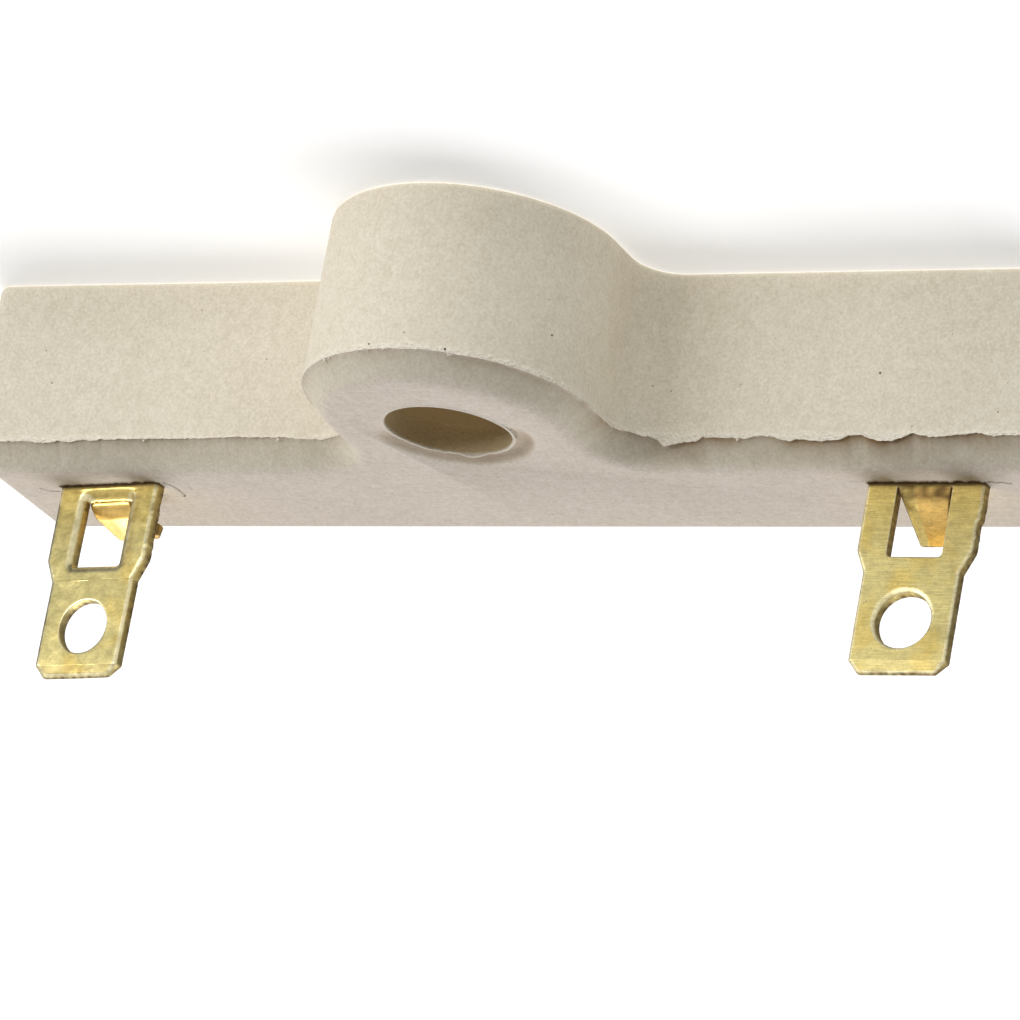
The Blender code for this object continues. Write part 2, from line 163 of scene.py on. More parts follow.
class CementSettings(bpy.types.PropertyGroup):
    roughness: length("Roughness height", "Height of the cement's trowelled lumps", 0.02 * MM)
    lip: length("Lip height", "Height of the cement's torn lip along a blade", 0.09 * MM)
    crack_depth: length("Crack depth", "Depth of the cement's hairline cracks", 0.12 * MM)


class TerminalSettings(bpy.types.PropertyGroup):
    blade_width: length("Blade width", "Width of the quick-connect blade", 6.35 * MM)
    shank_width: length("Shank width", "Width of the shank below the blade", SHANK_WIDTH)
    hole_radius: length("Hole radius", "Radius of the hole in the blade", 1.8 * MM)
    coin_depth: length("Coined depth", "How far the left blade is coined thinner than its shank", 0.07 * MM)
    brass_tone: colour("Brass colour", "Colour of clean brass", (0.76, 0.65, 0.28))
    gold_tone: colour("Golden patches", "Colour of the brass where it has turned golden", (0.80, 0.61, 0.19))
    # Painted highlight: the rolled edges are lightened to this colour, partly their burnish
    highlight_and_burnish_tone: colour("Highlight_and_burnish colour", "Colour of the edges that the die rubbed bright", (0.96, 0.87, 0.55))
    tab_tone: colour("Tab colour", "Colour of the bent locking tab", (0.90, 0.60, 0.19))
    # This colour paints shade and dark reflections on the brass as well as its tarnish
    stain_and_shade_tone: colour("Stain_and_shade colour", "Colour of the tarnish and of the sheared edges", (0.135, 0.075, 0.018))


class CoilSettings(bpy.types.PropertyGroup):
    wire: length("Wire diameter", "Diameter of the resistance wire", 0.9 * MM)
    diameter: length("Coil diameter", "Middle diameter of the wound coil", 5.4 * MM)
    turns: IntProperty(name="Turns", description="Number of turns, an odd number", default=25, min=3)
    tone: colour("Wire colour", "Colour of the oxidised resistance wire", (0.30, 0.275, 0.25))


class StageSettings(bpy.types.PropertyGroup):
    floor_tone: colour("Floor colour", "Colour of the plain pale floor", (0.86, 0.86, 0.86))
    front_power: strength("Front lamp", "Power of the low front lamp", 1.04, unit="POWER")
    back_power: strength("Back lamp", "Power of the lamp above the back", 2.75, unit="POWER")
    ambient: strength("Ambient", "Strength of the studio's soft fill", 0.1)
    glow: strength("Floor glow", "Light that the pale floor throws back on walls", 0.74)
    lift: strength("Floor lift", "What brings the lit floor up to white", 0.45)


# Plane geometry


def arc(centre, radius, start, end, steps):
    """Points from one angle to the other, ends included."""
    points = []
    for step in range(steps + 1):
        angle = math.radians(start + (end - start) * step / steps)
        points.append((centre[0] + radius * math.cos(angle), centre[1] + radius * math.sin(angle)))
    return points


def between(start, end, count):
    """Evenly spaced points inside a straight run, its ends left out."""
    return [
        (start[0] + (end[0] - start[0]) * k / count, start[1] + (end[1] - start[1]) * k / count)
        for k in range(1, count)
    ]


def rounded_loop(corners, step):
    """A closed loop through (x, y, radius) corners, each rounded by its radius, with points about a step apart."""
    loop = []
    count = len(corners)
    for index, (x, y, radius) in enumerate(corners):
        here = Vector((x, y))
        before = (Vector(corners[index - 1][:2]) - here).normalized()
        after = (Vector(corners[(index + 1) % count][:2]) - here).normalized()
        turn = math.pi - before.angle(after)
        tangent = radius * math.tan(turn / 2)
        start = here + before * tangent
        centre = here + (before + after).normalized() * (radius / math.cos(turn / 2))
        spoke = start - centre
        side = 1 if before.cross(after) < 0 else -1
        steps = max(3, round(radius * turn / (step * 0.6)))
        if loop:
            gap = (start - Vector(loop[-1])).length
            loop += between(loop[-1], start, max(1, round(gap / step)))
        for part in range(steps + 1):
            spun = spoke.copy()
            spun.rotate(Matrix.Rotation(side * turn * part / steps, 2))
            loop.append(tuple(centre + spun))
    gap = (Vector(loop[0]) - Vector(loop[-1])).length
    return loop + between(loop[-1], loop[0], max(1, round(gap / step)))


def box_corners(half_x, half_y):
    return (half_x, half_y), (-half_x, half_y), (-half_x, -half_y), (half_x, -half_y)


def offset_loop(loop, distances):
    """The loop moved to its left, each point by its own distance."""
    moved = []
    count = len(loop)
    for index in range(count):
        here = Vector(loop[index])
        before = (here - Vector(loop[index - 1])).normalized()
        after = (Vector(loop[(index + 1) % count]) - here).normalized()
        middle = (before + after).normalized()
        left = Vector((-middle.y, middle.x))
        moved.append(tuple(here + left * (distances[index] / max(0.5, middle.dot(after)))))
    return moved


def from_table(table, x):
    """Straight-line interpolation in a table of (x, value) pairs."""
    if x <= table[0][0]:
        return table[0][1]
    for (x0, v0), (x1, v1) in zip(table, table[1:]):
        if x <= x1:
            return v0 + (v1 - v0) * (x - x0) / (x1 - x0)
    return table[-1][1]


def smooth_step(low, high, value):
    share = min(1.0, max(0.0, (value - low) / (high - low)))
    return share * share * (3 - 2 * share)


def ripple(x, y, z, size):
    """Smooth noise from -1 to 1 whose lumps are about one size across."""
    return noise.noise(Vector((x / size, y / size, z / size)))


# Meshes


def new_piece(name, mesh):
    obj = bpy.data.objects.new(name, mesh)
    bpy.context.scene.collection.objects.link(obj)
    return obj


def loft(name, rings, marks=None):
    """A closed solid through rings of equal count, anticlockwise from above, from the bottom up.

    marks gives each ring's points their mark of grime and painted shade.
    """
    edit = bmesh.new()
    dirt_and_shade = edit.verts.layers.float.new("dirt_and_shade")
    rows = [[edit.verts.new(point) for point in ring] for ring in rings]
    for row, row_marks in zip(rows, marks or []):
        for vert, mark in zip(row, row_marks):
            vert[dirt_and_shade] = mark
    edit.faces.new(list(reversed(rows[0])))
    edit.faces.new(rows[-1])
    for lower, upper in zip(rows, rows[1:]):
        for index in range(len(lower)):
            after = (index + 1) % len(lower)
            edit.faces.new([lower[index], lower[after], upper[after], upper[index]])
    return finished_mesh(name, edit)


def finished_mesh(name, edit, turn_outward=False):
    if turn_outward:
        bmesh.ops.recalc_face_normals(edit, faces=edit.faces)
    mesh = bpy.data.meshes.new(name)
    edit.to_mesh(mesh)
    edit.free()
    return mesh


def shade(mesh, angle):
    mesh.shade_smooth()
    mesh.set_sharp_from_angle(angle=math.radians(angle))


def applied(obj):
    """The object's mesh with its modifiers worked in; the object keeps that mesh and no modifier."""
    graph = bpy.context.evaluated_depsgraph_get()
    mesh = bpy.data.meshes.new_from_object(obj.evaluated_get(graph))
    old = obj.data
    obj.modifiers.clear()
    if obj.type == "MESH":
        obj.data = mesh
        bpy.data.meshes.remove(old)
        return obj
    name = obj.name
    bpy.data.objects.remove(obj)
    return new_piece(name, mesh)


def cut_away(obj, meshes):
    """Subtracts each mesh from the object, exactly."""
    for mesh in meshes:
        cutter = new_piece(mesh.name, mesh)
        modifier = obj.modifiers.new(mesh.name, "BOOLEAN")
        modifier.operation = "DIFFERENCE"
        modifier.solver = "EXACT"
        modifier.object = cutter
        applied(obj)
        bpy.data.objects.remove(cutter)
        bpy.data.meshes.remove(mesh)


def finish_piece(obj, material, slot, *nodes):
    """Gives the piece its material and tells the frame what it rides on and replaces."""
    obj.data.materials.clear()
    obj.data.materials.append(material)
    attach(obj, "root")
    if nodes:
        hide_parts(*nodes)


# Shader nodes


def feed(tree, socket, value):
    """Links a value that is a socket, and sets any other."""
    if isinstance(value, bpy.types.NodeSocket):
        tree.links.new(value, socket)
    else:
        socket.default_value = value


def put(tree, kind, values=None, **settings):
    """Adds a node with these settings and feeds its inputs."""
    node = tree.nodes.new(kind)
    for key, value in settings.items():
        setattr(node, key, value)
    for key, value in (values or {}).items():
        feed(tree, node.inputs[key], value)
    return node


def tree_of(*values):
    """The node tree that the sockets among some values belong to."""
    return next(value.id_data for value in values if isinstance(value, bpy.types.NodeSocket))


def sums(operation, *values, clamp=False):
    values = dict(enumerate(values))
    node = put(tree_of(*values.values()), "ShaderNodeMath", values, operation=operation, use_clamp=clamp)
    return node.outputs[0]


def times(first, *others, clamp=False):
    for index, factor in enumerate(others, 1):
        first = sums("MULTIPLY", first, factor, clamp=clamp and index == len(others))
    return first


def linear(value, factor, offset, clamp=False):
    return sums("MULTIPLY_ADD", value, factor, offset, clamp=clamp)


def most(first, second, clamp=False):
    return sums("MAXIMUM", first, second, clamp=clamp)


def without(share):
    return sums("SUBTRACT", 1.0, share)


def vectors(operation, first, second):
    values = {0: first, 1: second}
    return put(tree_of(first, second), "ShaderNodeVectorMath", values, operation=operation).outputs[0]


def scaled(vector, factor):
    values = {0: vector, 3: factor}
    return put(tree_of(vector, factor), "ShaderNodeVectorMath", values, operation="SCALE").outputs[0]


def parts(vector):
    return put(tree_of(vector), "ShaderNodeSeparateXYZ", {0: vector}).outputs


def mixed(share, first, second, blend="MIX"):
    values = {0: share, 6: first, 7: second}
    node = put(tree_of(share, first, second), "ShaderNodeMix", data_type="RGBA", blend_type=blend)
    for index, value in values.items():
        feed(node.id_data, node.inputs[index], value)
    return node.outputs[2]


def ramp(value, low, high, to_low=0.0, to_high=1.0):
    values = {"Value": value, "From Min": low, "From Max": high, "To Min": to_low, "To Max": to_high}
    return put(tree_of(value), "ShaderNodeMapRange", values, interpolation_type="SMOOTHSTEP").outputs["Result"]


def cloudy(position, size, detail, roughness=0.5):
    """Noise whose lumps are about one size across."""
    scale = sums("DIVIDE", 1.0, size) if isinstance(size, bpy.types.NodeSocket) else 1.0 / size
    values = {"Vector": position, "Scale": scale, "Detail": detail, "Roughness": roughness}
    return put(tree_of(position), "ShaderNodeTexNoise", values).outputs["Fac"]


def bumped(height, depth, strength=1.0):
    values = {"Height": height, "Distance": depth, "Strength": strength}
    return put(tree_of(height), "ShaderNodeBump", values).outputs["Normal"]


def object_place(tree):
    return put(tree, "ShaderNodeTexCoord").outputs["Object"]


def marked(tree, name):
    """A share that the mesh carries on its points."""
    return put(tree, "ShaderNodeAttribute", attribute_name=name).outputs["Fac"]


def new_tree(name, kind, inputs, outputs):
    """A node group; inputs are (name, socket type, default) and outputs (name, socket type)."""
    tree = bpy.data.node_groups.new(name, kind)
    for label, socket, default in inputs:
        made = tree.interface.new_socket(name=label, in_out="INPUT", socket_type="NodeSocket" + socket)
        if default is not None:
            made.default_value = default
    for label, socket in outputs:
        tree.interface.new_socket(name=label, in_out="OUTPUT", socket_type="NodeSocket" + socket)
    return tree, tree.nodes.new("NodeGroupInput").outputs, tree.nodes.new("NodeGroupOutput").inputs


def grain_group(name):
    """Grain and mottling of a fired or set body, with small pores."""
    inputs = [
        ("Position", "Vector", None), ("Grain size", "Float", 0.2 * MM), ("Mottle size", "Float", 0.75 * MM),
        ("Pore spacing", "Float", 1.1 * MM), ("Pore share", "Float", 0.2),
    ]
    outputs = [("Shade", "Float"), ("Height", "Float"), ("Pores", "Float")]
    tree, given, out = new_tree(name, "ShaderNodeTree", inputs, outputs)
    position = given["Position"]
    fine = cloudy(position, given["Grain size"], 2.0, 0.6)
    mottle = cloudy(position, given["Mottle size"], 3.0, 0.55)
    broad = cloudy(position, times(given["Mottle size"], 9.0), 1.0, 0.5)
    spacing = sums("DIVIDE", 1.0, given["Pore spacing"])
    cells = put(tree, "ShaderNodeTexVoronoi", {"Vector": position, "Scale": spacing}, feature="F1").outputs
    drawn = put(tree, "ShaderNodeSeparateColor", {"Color": cells["Color"]}).outputs
    width = linear(drawn[1], 0.05, 0.035)
    near = ramp(cells["Distance"], times(width, 0.5), width)
    pores = times(without(near), sums("LESS_THAN", drawn[0], given["Pore share"]))
    feed(tree, out["Shade"], linear(broad, 0.3, linear(mottle, 0.7, linear(fine, 1.5, -1.25))))
    feed(tree, out["Height"], sums("SUBTRACT", linear(fine, 0.9, times(mottle, 0.5)), pores))
    feed(tree, out["Pores"], pores)
    return tree


def drawn_lines_group(name):
    """Lines drawn out along one axis, for brushed metal, a drawn wire or a dragged mould face."""
    inputs = [
        ("Position", "Vector", None), ("Stretch", "Vector", (0.05, 1.0, 1.0)), ("Line size", "Float", 0.1 * MM),
    ]
    tree, given, out = new_tree(name, "ShaderNodeTree", inputs, [("Lines", "Float"), ("Breaks", "Float")])
    drawn = vectors("MULTIPLY", given["Position"], given["Stretch"])
    feed(tree, out["Lines"], cloudy(drawn, given["Line size"], 3.0, 0.65))
    feed(tree, out["Breaks"], cloudy(drawn, times(given["Line size"], 1 / 0.3), 2.0, 0.5))
    return tree


GROUPS = {"body grain": grain_group, "drawn lines": drawn_lines_group}


def place_group(name, position, **values):
    """Adds a group node, and makes its group when it is the first."""
    tree = position.id_data
    node = tree.nodes.new("ShaderNodeGroup")
    node.node_tree = bpy.data.node_groups.get(name) or GROUPS[name](name)
    feed(tree, node.inputs["Position"], position)
    for key, value in values.items():
        feed(tree, node.inputs[key.replace("_", " ").capitalize()], value)
    return node.outputs


def new_material(name):
    material = bpy.data.materials.new(name)
    material.use_nodes = True
    return material, material.node_tree


def set_shader(material, values):
    """Feeds the inputs of the material's Principled shader."""
    shader = material.node_tree.nodes["Principled BSDF"]
    for key, value in values.items():
        feed(material.node_tree, shader.inputs[key], value)
    return material


def rgba(tone, scale=1.0):
    return (tone[0] * scale, tone[1] * scale, tone[2] * scale, 1.0)


def ceramic_material(settings):
    material, tree = new_material("fired ceramic")
    coordinates = put(tree, "ShaderNodeTexCoord").outputs
    position = coordinates["Object"]
    place_x, _, height_z = parts(position)
    upward = parts(coordinates["Normal"])[2]
    grain = place_group("body grain", position)
    streaks = place_group("drawn lines", position, stretch=(0.1, 1.0, 1.0), line_size=0.22 * MM)
    on_face = ramp(upward, 0.7, 0.98)
    tone = mixed(on_face, rgba(settings.wall_tone), rgba(settings.face_tone))
    streak_share = times(sums("SUBTRACT", streaks["Lines"], 0.5), on_face)
    level = linear(streak_share, 0.16, linear(grain["Shade"], 0.27, 1.0))
    # Painted shade: the walls are painted darker towards the block's ends
    ends = ramp(sums("ABSOLUTE", place_x), 18 * MM, 35 * MM, 0.0, -0.065)
    level = linear(ends, without(on_face), level)
    hue = mixed(ramp(grain["Shade"], -0.6, 0.6), (1.0, 0.975, 0.93, 1.0), (1.0, 1.0, 1.02, 1.0))
    tinted = scaled(mixed(1.0, tone, hue, "MULTIPLY"), level)

    # Torn ceramic shows above the torn edge and on the collar round the bore
    parting = HEIGHT - settings.edge_bevel
    fringe = times(
        ramp(height_z, parting - 0.5 * MM, parting - 0.1 * MM), ramp(upward, 0.1, 0.6, 1.0, 0.0),
        ramp(grain["Shade"], -0.35, 0.3, 0.25, 0.75),
    )
    radius = settings.bolt_radius
    away = vectors("SUBTRACT", position, (0.0, BOLT_Y, 0.0))
    flat = vectors("MULTIPLY", away, (1.0, 1.0, 0.0))
    from_bolt = put(tree, "ShaderNodeVectorMath", {0: flat}, operation="LENGTH").outputs["Value"]
    in_bore = sums("LESS_THAN", from_bolt, radius + 0.03 * MM)
    # Painted shade: the bore's wall below its top takes the darker, browner bore colour
    bore_shade = times(in_bore, ramp(height_z, HEIGHT - 0.34 * MM, HEIGHT - 0.18 * MM, 1.0, 0.0), 0.95)
    collar = times(
        ramp(from_bolt, radius + 0.2 * MM, radius + 0.32 * MM, 1.0, 0.0),
        ramp(height_z, HEIGHT - 0.6 * MM, HEIGHT - 0.45 * MM),
    )
    torn = most(times(collar, 0.3), fringe)
    tinted = mixed(torn, tinted, rgba(settings.torn_tone))
    tinted = mixed(bore_shade, tinted, rgba(settings.bore_shade_tone))

    # Painted shade on the countersink's far side, painted shade with grime under the torn edge, and grime in the pores
    countersink_shade = times(
        ramp(height_z, HEIGHT - 0.22 * MM, HEIGHT - 0.02 * MM, 1.0, 0.0),
        ramp(height_z, HEIGHT - 1.2 * MM, HEIGHT - 0.9 * MM),
        ramp(from_bolt, radius + 1.45 * MM, radius + 1.75 * MM, 1.0, 0.0),
        ramp(parts(away)[1], -1.0 * MM, 2.0 * MM), 0.42, without(collar), without(in_bore),
    )
    patchy = ramp(cloudy(position, 2.6 * MM, 1.0), 0.4, 0.62, 0.55, 1.0)
    dirt_and_shade = most(countersink_shade, times(marked(tree, "dirt_and_shade"), patchy, 1.05, clamp=True))
    dirt_and_shade = most(dirt_and_shade, times(grain["Pores"], 0.6), clamp=True)
    relief = linear(grain["Height"], linear(torn, 4.0, 1.0), times(streak_share, 0.7))
    return set_shader(material, {
        "Base Color": mixed(dirt_and_shade, tinted, rgba(settings.grime_and_shade_tone)),
        "Specular IOR Level": 0.25,
        "Roughness": ramp(grain["Shade"], -0.4, 0.4, 0.94, 0.78),
        "Normal": bumped(relief, 0.03 * MM, 0.9),
    })


def cement_material(settings):
    material, tree = new_material("sealing cement")
    grain = place_group("body grain", object_place(tree), mottle_size=0.7 * MM)
    tinted = scaled(rgba(settings.face_tone)[:3], linear(grain["Shade"], 0.2, 0.985))
    # Painted shadow: a near-black line along the blade's front under the cement's lip, browner grime round it, and
    # painted shade in the cracks
    blade_grime_and_shade = marked(tree, "dirt_and_shade")
    dirt_and_shade = most(times(grain["Pores"], 0.7), blade_grime_and_shade, clamp=True)
    grime_and_shadow_tone = mixed(ramp(blade_grime_and_shade, 0.72, 0.95), (0.26, 0.17, 0.085, 1.0), (0.06, 0.036, 0.012, 1.0))
    return set_shader(material, {
        "Base Color": mixed(dirt_and_shade, tinted, grime_and_shadow_tone),
        "Roughness": 0.93,
        "Specular IOR Level": 0.2,
        "Normal": bumped(grain["Height"], 0.04 * MM),
    })


def speck_material():
    material, tree = new_material("mineral speck")
    share = ramp(cloudy(object_place(tree), 2.4 * MM, 0.0), 0.35, 0.65)
    tone = mixed(share, (0.13, 0.085, 0.05, 1.0), (0.34, 0.2, 0.09, 1.0))
    return set_shader(material, {"Base Color": tone, "Roughness": 0.7})


def brass_material(name, settings, brushed, polish):
    """Stamped brass: brushed drags lines across the sheet, polish lowers the roughness."""
    material, tree = new_material(name)
    position = object_place(tree)
    lines = place_group("drawn lines", position, stretch=(0.07, 1.0, 1.0), line_size=0.09 * MM)
    mottle = cloudy(position, 0.9 * MM, 4.0, 0.6)
    spots = cloudy(position, 0.2 * MM, 2.0, 0.6)
    patches = cloudy(position, 3.2 * MM, 2.0, 0.6)
    at_root = ramp(parts(position)[2], HEIGHT, HEIGHT + 5.5 * MM, 0.85, 0.0)
    golden = most(ramp(patches, 0.48, 0.64, 0.0, 0.8), at_root)
    clean = mixed(golden, rgba(settings.brass_tone), rgba(settings.gold_tone))
    edge = marked(tree, "edge")
    # Painted highlight along the rolled band, partly the burnish of the roll
    rolled = times(ramp(edge, 0.05, 0.3), ramp(edge, 0.84, 1.0, 1.0, 0.0))
    clean = mixed(times(rolled, ramp(mottle, 0.3, 0.6, 0.4, 0.85)), clean, rgba(settings.highlight_and_burnish_tone))
    clean = mixed(marked(tree, "tab_tint"), clean, rgba(settings.tab_tone))
    line_level = linear(lines["Lines"], 0.7 * brushed, 1.0 - 0.5 * brushed)
    tinted = scaled(clean, times(line_level, linear(mottle, 0.7, 0.65), linear(spots, 0.5, 0.75)))
    # Tarnish, joined by the painted shade and dark reflections that the mesh carries
    tarnish = times(ramp(spots, 0.56, 0.7), ramp(mottle, 0.5, 0.68), 0.5)
    stain_and_shade = most(tarnish, marked(tree, "dirt_and_shade"), clamp=True)
    rough = linear(lines["Breaks"], 0.12 * brushed, linear(mottle, 0.22, 0.34 - 0.2 * polish))
    relief = linear(mottle, 2.2 * polish, times(lines["Lines"], 0.5 * brushed))
    return set_shader(material, {
        "Base Color": mixed(stain_and_shade, tinted, rgba(settings.stain_and_shade_tone)),
        "Metallic": linear(stain_and_shade, -0.5, 1.0, clamp=True),
        "Roughness": linear(stain_and_shade, 0.3, rough, clamp=True),
        "Normal": bumped(relief, 0.02 * MM, 0.8),
    })


def wire_material(settings):
    material, tree = new_material("oxidised resistance wire")
    lines = place_group("drawn lines", object_place(tree), stretch=(1.0, 0.3, 0.3), line_size=0.12 * MM)
    bloom = ramp(lines["Breaks"], 0.35, 0.65)
    return set_shader(material, {
        "Base Color": mixed(bloom, rgba(settings.tone, 0.7), rgba(settings.tone, 1.25)),
        "Metallic": 1.0,
        "Roughness": ramp(lines["Lines"], 0.3, 0.7, 0.3, 0.55),
        "Normal": bumped(lines["Lines"], 0.01 * MM, 0.6),
    })


# The ceramic block


FRONT_STEP = 0.1 * MM
BACK_STEP = 0.4 * MM
CORNER_LEAST = 0.06 * MM
FIN_ROOT = 0.12 * MM
RING_SPAN = 0.5 * MM

# Where brown grime and painted shade lie thickest under the torn edge: (x, half width)
BROWN_GRIME_AND_SHADE_PLACES = ((-13.4 * MM, 1.3 * MM), (-21.6 * MM, 1.6 * MM), (-24.0 * MM, 0.8 * MM), (-27.4 * MM, 1.3 * MM))
WALL_LEVELS = (1.5 * MM, 3.2 * MM, 5.0 * MM, 6.8 * MM, 8.4 * MM, 9.6 * MM, 10.3 * MM)

# The chamfer's section from the torn edge to the terminal face: share across, share of the rise, and the mark of grime
# and painted shade
CHAMFER = (
    (0.03, 0.035, 1.0), (0.08, 0.09, 0.9), (0.16, 0.18, 0.68), (0.26, 0.30, 0.46), (0.38, 0.44, 0.31),
    (0.52, 0.60, 0.2), (0.67, 0.755, 0.11), (0.82, 0.875, 0.04), (0.98, 0.955, 0.0), (1.14, 0.99, 0.0),
    (1.30, 1.0, 0.0),
)


def block_ring(inset):
    """The block's outline moved into the material by an inset, always with the same number of points."""
    half = HALF_LENGTH - inset
    back = BACK_Y - inset
    front = FRONT_Y + inset
    corner = max(CORNER_ROUND - inset, CORNER_LEAST)
    nose = LUG_RADIUS - inset
    fillet = LUG_FILLET + inset
    flank = LUG_RADIUS + LUG_FILLET
    shoulder = FRONT_Y - LUG_FILLET
    runs = [
        arc((half - corner, back - corner), corner, 0, 90, 6),
        arc((-half + corner, back - corner), corner, 90, 180, 6),
        arc((-half + corner, front + corner), corner, 180, 270, 6),
        arc((-flank, shoulder), fillet, 90, 0, 24),
        arc((0.0, BOLT_Y), nose, 180, 360, 190),
        arc((flank, shoulder), fillet, 180, 90, 24),
        arc((half - corner, front + corner), corner, 270, 360, 6),
    ]
    gaps = [
        round(2 * HALF_LENGTH / BACK_STEP),
        round(BLOCK_DEPTH / BACK_STEP),
        round((HALF_LENGTH - flank) / FRONT_STEP),
        round((shoulder - BOLT_Y) / FRONT_STEP),
        round((shoulder - BOLT_Y) / FRONT_STEP),
        round((HALF_LENGTH - flank) / FRONT_STEP),
        round(BLOCK_DEPTH / BACK_STEP),
    ]
    ring = []
    for index, (run, gap) in enumerate(zip(runs, gaps)):
        ring += run + between(run[-1], runs[(index + 1) % len(runs)][0], gap)
    return ring


def fin_share(y):
    """How much of the torn fin there is: all of it on the block's front, little on the lug's nose and the back."""
    if y > FRONT_Y + 0.5 * MM:
        return 0.5
    return 0.25 + 0.75 * smooth_step(BOLT_Y + 0.5 * MM, BOLT_Y + 2.5 * MM, y)


def torn_height(x, y):
    """How far the torn fin stands above the parting line at one place of the outline."""
    if y > FRONT_Y + 0.5 * MM:
        tall = 0.07 * MM * ripple(x, y, 3.0, 2.6 * MM)
    elif y > BOLT_Y + 1.5 * MM:
        tall = from_table(TORN_EDGE, x / MM) * MM
    else:
        tall = 0.04 * MM * ripple(x, y, 5.0, 1.7 * MM) - 0.02 * MM
    fine = 0.06 * ripple(x, y, 1.0, 0.45 * MM) + 0.055 * ripple(x, y, 2.0, 0.2 * MM)
    return tall + fine * MM * (0.35 + 0.65 * fin_share(y))


def grime_and_shade_share(x):
    """How much grime and painted shade the edge takes along the block: more towards -x, most in a few brown places."""
    share = 0.34 + 0.36 * smooth_step(8 * MM, -8 * MM, x)
    for place, width in BROWN_GRIME_AND_SHADE_PLACES:
        share += 1.1 * math.exp(-(((x - place) / width) ** 2))
    return min(1.6, share)


def block_mesh(settings):
    """The whole block: foot bevel, walls, the torn fin at the mould's parting line, then the chamfered edge."""
    base = block_ring(0.0)
    parting = HEIGHT - settings.edge_bevel
    tall = [torn_height(x, y) for x, y in base]
    shares = [fin_share(y) for _, y in base]
    roots = [parting + min(0.0, high) - 0.05 * MM * share for high, share in zip(tall, shares)]
    # Painted shade with grime under the torn fin along the front; the back takes a plain 0.25
    grime_and_shade_shares = [
        grime_and_shade_share(x) * (0.4 + 0.6 * share) if y < FRONT_Y + 0.5 * MM else 0.25 for (x, y), share in zip(base, shares)
    ]
    far = block_ring(RING_SPAN)
    rings, marks = [], []

    def add(outline, heights, dirt_and_shade=0.0):
        rings.append([(x, y, z) for (x, y), z in zip(outline, heights)])
        marks.append([dirt_and_shade * grime_and_shade for grime_and_shade in grime_and_shade_shares])

    def pushed(insets):
        """The outline with each point moved by its own inset, less than the span."""
        shares = [inset / RING_SPAN for inset in insets]
        return [(x0 + (x1 - x0) * k, y0 + (y1 - y0) * k) for (x0, y0), (x1, y1), k in zip(base, far, shares)]

    for step in range(4):
        angle = math.pi / 2 * step / 3
        inset = settings.foot_bevel * (1 - math.sin(angle))
        add(block_ring(inset), [settings.foot_bevel * (1 - math.cos(angle))] * len(base))
    for z in WALL_LEVELS:
        add(pushed([-0.025 * MM * ripple(x, y, z, 5 * MM) for x, y in base]), [z] * len(base))
    add(base, [root - 0.2 * MM for root in roots])
    curl = [-0.015 * MM - 0.16 * max(0.0, high) for high in tall]
    lip = [out + settings.flash_thickness * share for out, share in zip(curl, shares)]
    add(pushed(curl), [parting + high for high in tall])
    # The lip and the fin's root carry the mark of painted shade and grime, which fades up the chamfer
    add(pushed(lip), [parting + high - 0.01 * MM for high in tall], 0.15)
    add(pushed([FIN_ROOT * share for share in shares]), roots, 1.0)
    for across, rise, dirt_and_shade in CHAMFER:
        heights = [low + (HEIGHT - low) * rise for low in roots]
        add(block_ring(FIN_ROOT + settings.edge_bevel * across), heights, dirt_and_shade)
    return loft("ceramic_block", rings, marks)


# The countersink's section from its rim inwards: share of its width, share of its depth
COUNTERSINK = ((1.3, 0.14), (1.05, 0.42), (0.78, 0.74), (0.52, 0.97))


def bore_cutter(settings):
    """The bolt hole with its countersink, which leaves a thin torn collar standing round the bore."""
    radius = settings.bolt_radius
    wide = settings.countersink
    around = 150
    rows = []
    for step in range(around):
        angle = 2 * math.pi * step / around
        x, y = math.cos(angle), math.sin(angle)
        far = smooth_step(-0.35, 0.5, y)
        depth = (0.04 + 0.51 * far) * MM
        stands = 0.75 * depth + 0.05 * MM * far * ripple(x * MM, y * MM, 0.4 * MM, 0.5 * MM)
        stands += 0.05 * MM * far * ripple(x * MM, y * MM, 0.9 * MM, 0.09 * MM)
        burr = abs(math.degrees(angle) - 87.0)
        stands += 0.13 * MM * math.exp(-((burr / 13.0) ** 2)) - 0.09 * MM * math.exp(-((burr - 14.0) / 5.0) ** 2)
        bottom = HEIGHT - depth
        wobble = 0.02 * MM * ripple(x * MM, y * MM, 0.1 * MM, 0.1 * MM)
        profile = [
            (radius + wide + 0.55 * MM, HEIGHT + 0.5 * MM),
            (radius + 1.42 * wide, HEIGHT + 0.02 * MM),
            *((radius + share * wide, HEIGHT - fall * depth) for share, fall in COUNTERSINK),
            (radius + 0.25 * MM + wobble, bottom),
            (radius + 0.2 * MM + wobble, bottom + stands - 0.02 * MM),
            (radius + 0.06 * MM + wobble, bottom + stands),
            (radius, bottom + stands - 0.06 * MM),
            (radius, HEIGHT - 1.2 * MM),
            (radius - 0.05 * MM, HEIGHT / 2),
            (radius, 0.5 * MM),
            (radius + 0.12 * MM, 0.0),
            (radius + 0.2 * MM, -1.0 * MM),
        ]
        rows.append([(x * r, BOLT_Y + y * r, z) for r, z in profile])
    rings = [[row[level] for row in rows] for level in reversed(range(len(rows[0])))]
    return loft("bore_cutter", rings)


